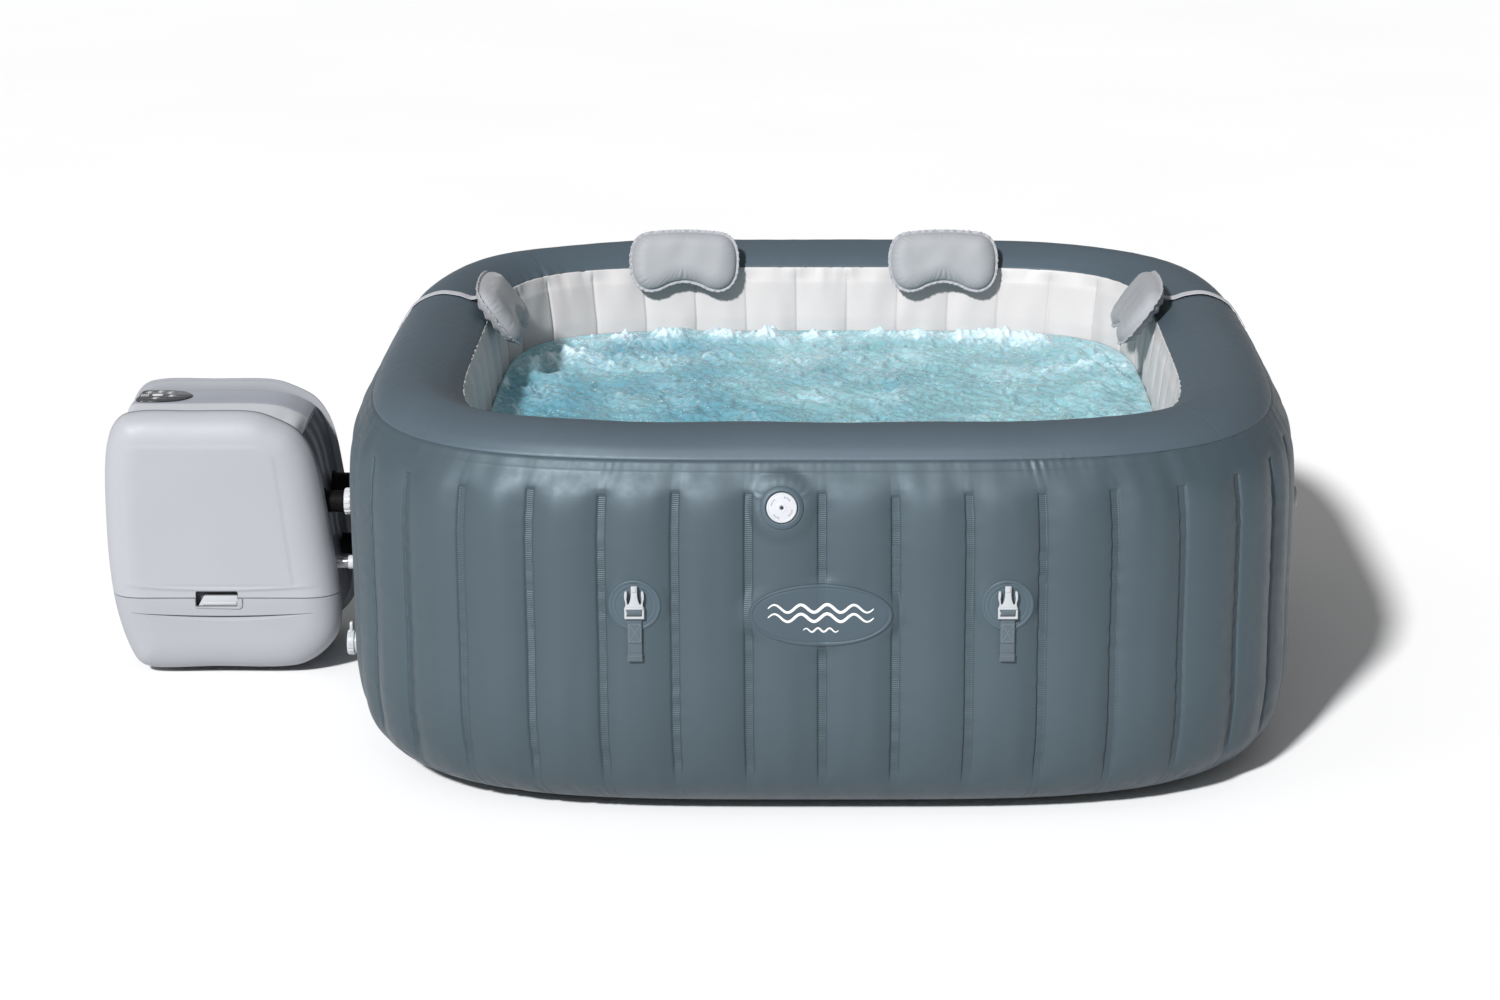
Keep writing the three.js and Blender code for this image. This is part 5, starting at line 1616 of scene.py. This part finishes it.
def build_console():
    st = [(-1400, 515, 496), (-1396, 520.5, 497), (-1390, 523.8, 497), (-1382, 525, 497), (-1370, 525, 497), (-1300, 525, 497), (-1124, 524, 497), (-1083, 517, 497), (-1052, 503, 497.3), (-1039, 493, 482)]
    path = resample(spline(st, 16), 70)
    rows_ = []
    for x, top, low in path:
        sec = [(-50, low), (187, low), (187, top - 5), (170, top), (74, top), (12, max(low + 3, top - 16)), (-50, max(low + 2, top - 18))]
        sec = fillet(sec, [0.5, 0.5, 3, 6, 10, 8, 3], 5)
        rows_.append(np.stack([np.full(len(sec), x), sec[:, 0], sec[:, 1]], 1))
    # rounded ends
    a, b = rows_[0].copy(), rows_[0].copy()
    cen = rows_[0].mean(0)
    r0 = cen + (rows_[0] - cen) * np.array([1, 0.985, 0.9])
    v, f = swept(np.array(rows_))
    o = mesh_piece("console_bar_body", v * MM, f, M["console"], "tub", "console_bar", True, 35)
    bevel(o, 0.0025, 3, 50)
    apply_modifiers(o)
    finish_piece(o, M["console"], "tub", "console_bar", True, 35)
    o.data.materials.append(M["edge"])
    cnt = len(o.data.polygons)
    co, no = np.zeros(cnt * 3), np.zeros(cnt * 3)
    o.data.polygons.foreach_get("center", co)
    o.data.polygons.foreach_get("normal", no)
    co, no = co.reshape(-1, 3), no.reshape(-1, 3)
    # painted highlight: front faces that look up take the lighter copy of the console plastic
    o.data.polygons.foreach_set("material_index", ((co[:, 1] < 0.0735) & (no[:, 2] > 0.3)).astype(np.int32))
    return o


build_console()

KEYS = {"power": (-1351, 100), "heat": (-1371, 146), "filter": (-1349, 152), "bubbles": (-1328, 144), "jets": (-1321, 119)}
PANEL_Z = 525.3
panel_line = [(-1397, 78), (-1330, 78), (-1296, 90), (-1279, 121), (-1294, 151), (-1330, 164), (-1394, 164)]


def on_panel(z):
    return lambda v: np.stack([v[:, 0], v[:, 1], z + v[:, 2]], 1)


pl = resample(spline([(-1386, 82), (-1360, 77.5), (-1328, 78.5), (-1298, 90), (-1280, 121), (-1297, 152), (-1330, 163.5), (-1360, 165),
                      (-1384, 162), (-1386.5, 122)], 16, True), 120, True)
panel = flat_piece("control_panel_lens", [pl] + [oval(5.2, 5.2, 32, cx=x, cy=y)[::-1] for x, y in KEYS.values()],
                   3.0, 0.8, M["panel"], on_panel(PANEL_Z), "tub", "control_panel")
for name, (x, y) in KEYS.items():
    flat_piece(f"key_cap_{name}", [oval(4.6, 4.6, 40, cx=x, cy=y)], 2.4, 0.7, M["key"], on_panel(PANEL_Z + 1.4), f"button_{name}",
               f"key_{name}")
disp = flat_piece("panel_display", [oval(11, 7.5, 60, 2.6, -1351, 126)], 0.7, 0.2, M["mark"], on_panel(PANEL_Z + 2.6), "tub")
icons = []
for i in range(4):
    for j in range(3):
        x, y = -1382.5 + i * 4.2, 117 + j * 6.5
        icons.append(flat_piece(f"icon_{i}_{j}", [fillet([(x - 1.3, y - 1.9), (x + 1.3, y - 1.9), (x + 1.3, y + 1.9), (x - 1.3, y + 1.9)], 0.5, 2)],
                                0.5, 0.1, M["mark"], on_panel(PANEL_Z + 2.7), "tub", res=0))
join_pieces(icons[0], *icons[1:])
icons[0].name = "v_panel_icon"
ring_marks = []
for name, (x, y) in KEYS.items():
    o_, i_ = oval(7.4, 7.4, 40, cx=x, cy=y), oval(6.9, 6.9, 40, cx=x, cy=y)[::-1]
    ring_marks.append(flat_piece(f"ringmark_{name}", [o_, i_], 0.4, 0.08, M["mark"], on_panel(PANEL_Z + 2.75), "tub",
                                 res=0))
join_pieces(ring_marks[0], *ring_marks[1:])
ring_marks[0].name = "v_key_rings"

# ------------------------------------------------------------------ plumbing
PIPES = [("upper_front", -30, 349), ("upper_rear", 100, 349), ("lower_front", -30, 221), ("lower_rear", 100, 221)]


def thread(period, depth, r_min, h0, h1):
    def f(t, r, h):
        if h0 <= h <= h1:
            return np.where(r > r_min, r - depth * (0.5 + 0.5 * np.cos(2 * PI * h / period + t)), r)
        return r
    return f


def ribs(count, depth, r_min, h0, h1):
    def f(t, r, h):
        if h0 <= h <= h1:
            return np.where(r > r_min, r - depth * (np.cos(count * t) < 0.25), r)
        return r
    return f


def dense(profile, step=1.0):
    """Adds rows along straight runs of a closed profile."""
    p = [np.array(q, float) for q in profile]
    out = []
    for a, b in zip(p, p[1:] + p[:1]):
        L = np.linalg.norm(b - a)
        k = max(1, int(L / step)) if abs(b[1] - a[1]) > 0.5 and abs(b[0] - a[0]) < 0.6 and L < 70 else 1
        for i in range(k):
            out.append(a + (b - a) * i / k)
    return out


for name, y, z in PIPES:
    upper = name.startswith("upper")
    if upper:
        turned(f"pump_port_{name}_collar", dense([(16, 0), (26, 0), (26, 4), (22.6, 5.2), (22, 12), (22, 40), (21, 41.8), (16, 41.8)]),
               M["rubber"], "+x", (-998.2, y, z), "tub", f"pump_port_{name}", closed=True, round_r=0.3,
               mod=lambda t, r, h: r - np.where((r > 21) & (h > 14) & (h < 38), 0.8 * (np.cos(2 * PI * h / 5.5) > 0.2), 0))
        turned(f"union_nut_{name}_ring", dense([(21.2, 0), (25, 0), (27, 2), (27, 11), (25, 13), (21.2, 13)]), M["white"], "+x",
               (-955.9, y, z), f"union_{name}", f"union_nut_{name}", closed=True, round_r=0.5, segs=240,
               mod=ribs(14, 1.8, 24.5, 0.6, 12.4))
        turned(f"wall_fitting_{name}_body", dense([(16, 0), (20, 0), (20, 14), (29, 14), (29, 22), (27, 24), (27, 40), (32, 42), (32, 52),
                                                   (30, 55), (20, 55), (20, 300.2), (30, 300.2), (30, 306), (16, 306)]), M["white"],
               "+x", (-955.9, y, z), "tub", f"wall_fitting_{name}", closed=True, round_r=0.6, segs=144,
               mod=lambda t, r, h: r - np.where((r > 26) & (h > 25) & (h < 39), 0.9 * (np.cos(2 * PI * h / 3.6) > 0), 0)
               - np.where((r > 28.2) & (h > 14.2) & (h < 22), 0.8 * (np.cos(16 * t) > 0.3), 0))
    else:
        rear_ = name.endswith("rear")
        if rear_:
            turned(f"pump_port_{name}_collar", dense([(16, 0), (24, 0), (22, 2), (22, 40), (16, 40)]), M["rubber"], "+x",
                   (-983.8, y, z), "tub", f"pump_port_{name}", closed=True, round_r=0.3,
                   mod=lambda t, r, h: r - np.where((r > 21) & (h > 6) & (h < 36), 0.8 * (np.cos(2 * PI * h / 5.5) > 0.2), 0))
        else:
            turned(f"pump_port_{name}_nipple", dense([(9, 0), (16, 0), (16, 3), (12.5, 4), (12.5, 29), (11.5, 30), (9, 30)], 0.6), M["chrome"],
                   "+x", (-983.8, y, z), "tub", f"pump_port_{name}", closed=True, round_r=0.3,
                   mod=lambda t, r, h: r - np.where((r > 11.6) & (r < 14) & (h > 6) & (h < 29), 1.0 * (0.5 + 0.5 * np.cos(2 * PI * h / 3.2 + t)), 0))
        st, bore, neck = (40.4, 16, 21) if rear_ else (30.4, 9, 14)
        turned(f"wall_fitting_{name}_body", dense([(bore, st), (neck, st), (neck, 58), (30, 70), (30, 81), (28, 83), (20, 83), (20, 328.1),
                                                   (30, 328.1), (30, 334), (bore, 334)]), M["white"], "+x", (-983.8, y, z), "tub",
               f"wall_fitting_{name}", closed=True, round_r=0.6, segs=144,
               mod=lambda t, r, h, n_=neck: r - np.where((r > n_ - 0.5) & (r < n_ + 1) & (h > 40) & (h < 57), 0.7 * (np.cos(2 * PI * h / 3.6) > 0), 0))

# screens and jets inside
NOZZLES = {"back_left": ((-299, 658, 300), -PI / 2), "back_right": ((263, 658, 300), -PI / 2),
           "side_left": ((-656, 250, 300), 0.0), "side_right": ((656, 250, 300), PI)}
for name, (c, yaw) in NOZZLES.items():
    prof = fillet([(0, -22), (13.2, -17.6), (20.9, -6.6), (20.9, 6.6), (15.4, 15.8), (14, 24), (9, 24), (7, 6), (0, 6)], 2.0, 4, False)
    v = revolve_points(prof, 72)
    v = np.stack([v[:, 2], v[:, 1], v[:, 0]], 1)
    cs, sn = math.cos(yaw), math.sin(yaw)
    w = np.stack([cs * v[:, 0] - sn * v[:, 1] + c[0], sn * v[:, 0] + cs * v[:, 1] + c[1], v[:, 2] + c[2]], 1) * MM
    mesh_piece(f"jet_ball_{name}", w, grid_faces(len(prof), 72), M["light"], f"jet_{name}", f"jet_nozzle_{name}",
               True, 40, doubles=1e-6)


def build_filter():
    t = np.linspace(0, 2 * PI, 480, endpoint=False)
    rows_ = []
    def ringat(r, x):
        rr = np.broadcast_to(r, t.shape)
        return np.stack([np.full(480, x), -30 + rr * np.cos(t), 349 + rr * np.sin(t)], 1)
    pleat = 47 + 3 * np.cos(40 * t)
    for r, x in ((18, -649.5), (50, -649.5), (50, -644), (48.5, -643.5), (pleat, -642), (pleat, -620), (pleat, -596), (pleat, -573),
                 (48.5, -571.5), (50, -571), (50, -565.5), (18, -565.5)):
        rows_.append(ringat(r, x))
    rows_ = np.array(rows_)
    mesh_piece("filter_pleats", rows_.reshape(-1, 3) * MM, grid_faces(len(rows_), 480, True, True), M["filter"], "filter_unit",
               "filter_cartridge", True, 50)


build_filter()


# ---------------------------------------------- base tab at the front, welded on
tabm = flat_piece("base_tab", [fillet([(-9, 0), (9, 0), (9, 5.0), (-9, 5.0)], 1.2, 3)], 12, 0.9, M["light"],
                  lambda v: np.stack([-1 + v[:, 0], -751 - v[:, 2], 1.2 + v[:, 1]], 1), "tub")


# --------------------------------------------------- carried-over CAD nodes
def dress(node, mat, width=0.0008, slot=None):
    o = NODES[node]
    o.data.materials.clear()
    o.data.materials.append(mat)
    if width:
        bevel(o, width, 2, 25)
    return o


dress("base_sheet", M["wall"], 0.001)
dress("tension_webs", M["web"], 0)
dress("bubble_channel", M["liner"], 0.001)
dress("circulation_motor", M["motor"], 0.0012)
dress("pump_impeller", M["light"], 0.0006)
dress("heater_tube", M["steel"], 0.0005)
dress("air_blower", M["motor"], 0.0012)
dress("blower_fan", M["light"], 0.0006)
dress("circuit_board", M["board"], 0.0003)

# ---------------------------------------------------------- floor and lights
def floor():
    n = 41
    a = np.linspace(-1, 1, n)
    X, Y = np.meshgrid(a * 60, a * 60)
    v = np.stack([X - 0.2, Y + 2, np.full_like(X, -0.0005)], -1).reshape(-1, 3)
    me = bpy.data.meshes.new("floor")
    me.from_pydata(v.tolist(), [], grid_faces(n, n, False, False).tolist())
    o = bpy.data.objects.new("floor", me)
    scene.collection.objects.link(o)
    m = Nodes("floor")
    s = m.noise(0.7, 4, 0.5)
    f = m.noise(140, 3, 0.5)
    m.bump(f, 0.08, 0.0006)
    col = m.mix(m.range(s, 0.3, 0.7, 0, 1), (0.88, 0.88, 0.885), (0.90, 0.90, 0.905))
    me.materials.append(m.done(col, m.range(f, 0.3, 0.7, 0.55, 0.65), spec=0.3))


floor()

world = bpy.data.worlds.new("studio")
scene.world = world
world.use_nodes = True
bg = world.node_tree.nodes["Background"]
bg.inputs[0].default_value = (1.0, 1.0, 1.0, 1.0)
bg.inputs[1].default_value = 0.26


def area(name, loc, target, size, energy, color=(1, 1, 1)):
    l = bpy.data.lights.new(name, "AREA")
    l.shape = "RECTANGLE"
    l.size, l.size_y = size
    l.energy, l.color = energy, color
    o = bpy.data.objects.new(name, l)
    scene.collection.objects.link(o)
    o.location = loc
    o.rotation_euler = (Vector(target) - Vector(loc)).to_track_quat("-Z", "Y").to_euler()
    return o


def sun(name, towards, strength, spread):
    l = bpy.data.lights.new(name, "SUN")
    l.energy, l.angle = strength, math.radians(spread)
    o = bpy.data.objects.new(name, l)
    scene.collection.objects.link(o)
    o.rotation_euler = Vector(towards).to_track_quat("-Z", "Y").to_euler()
    return o


sun("key", (0.345, 0.722, -0.60), 4.9, 5.0)
area("softbox", (-3.6, -3.2, 4.2), (-0.1, 0.0, 0.35), (2.2, 1.4), 9)
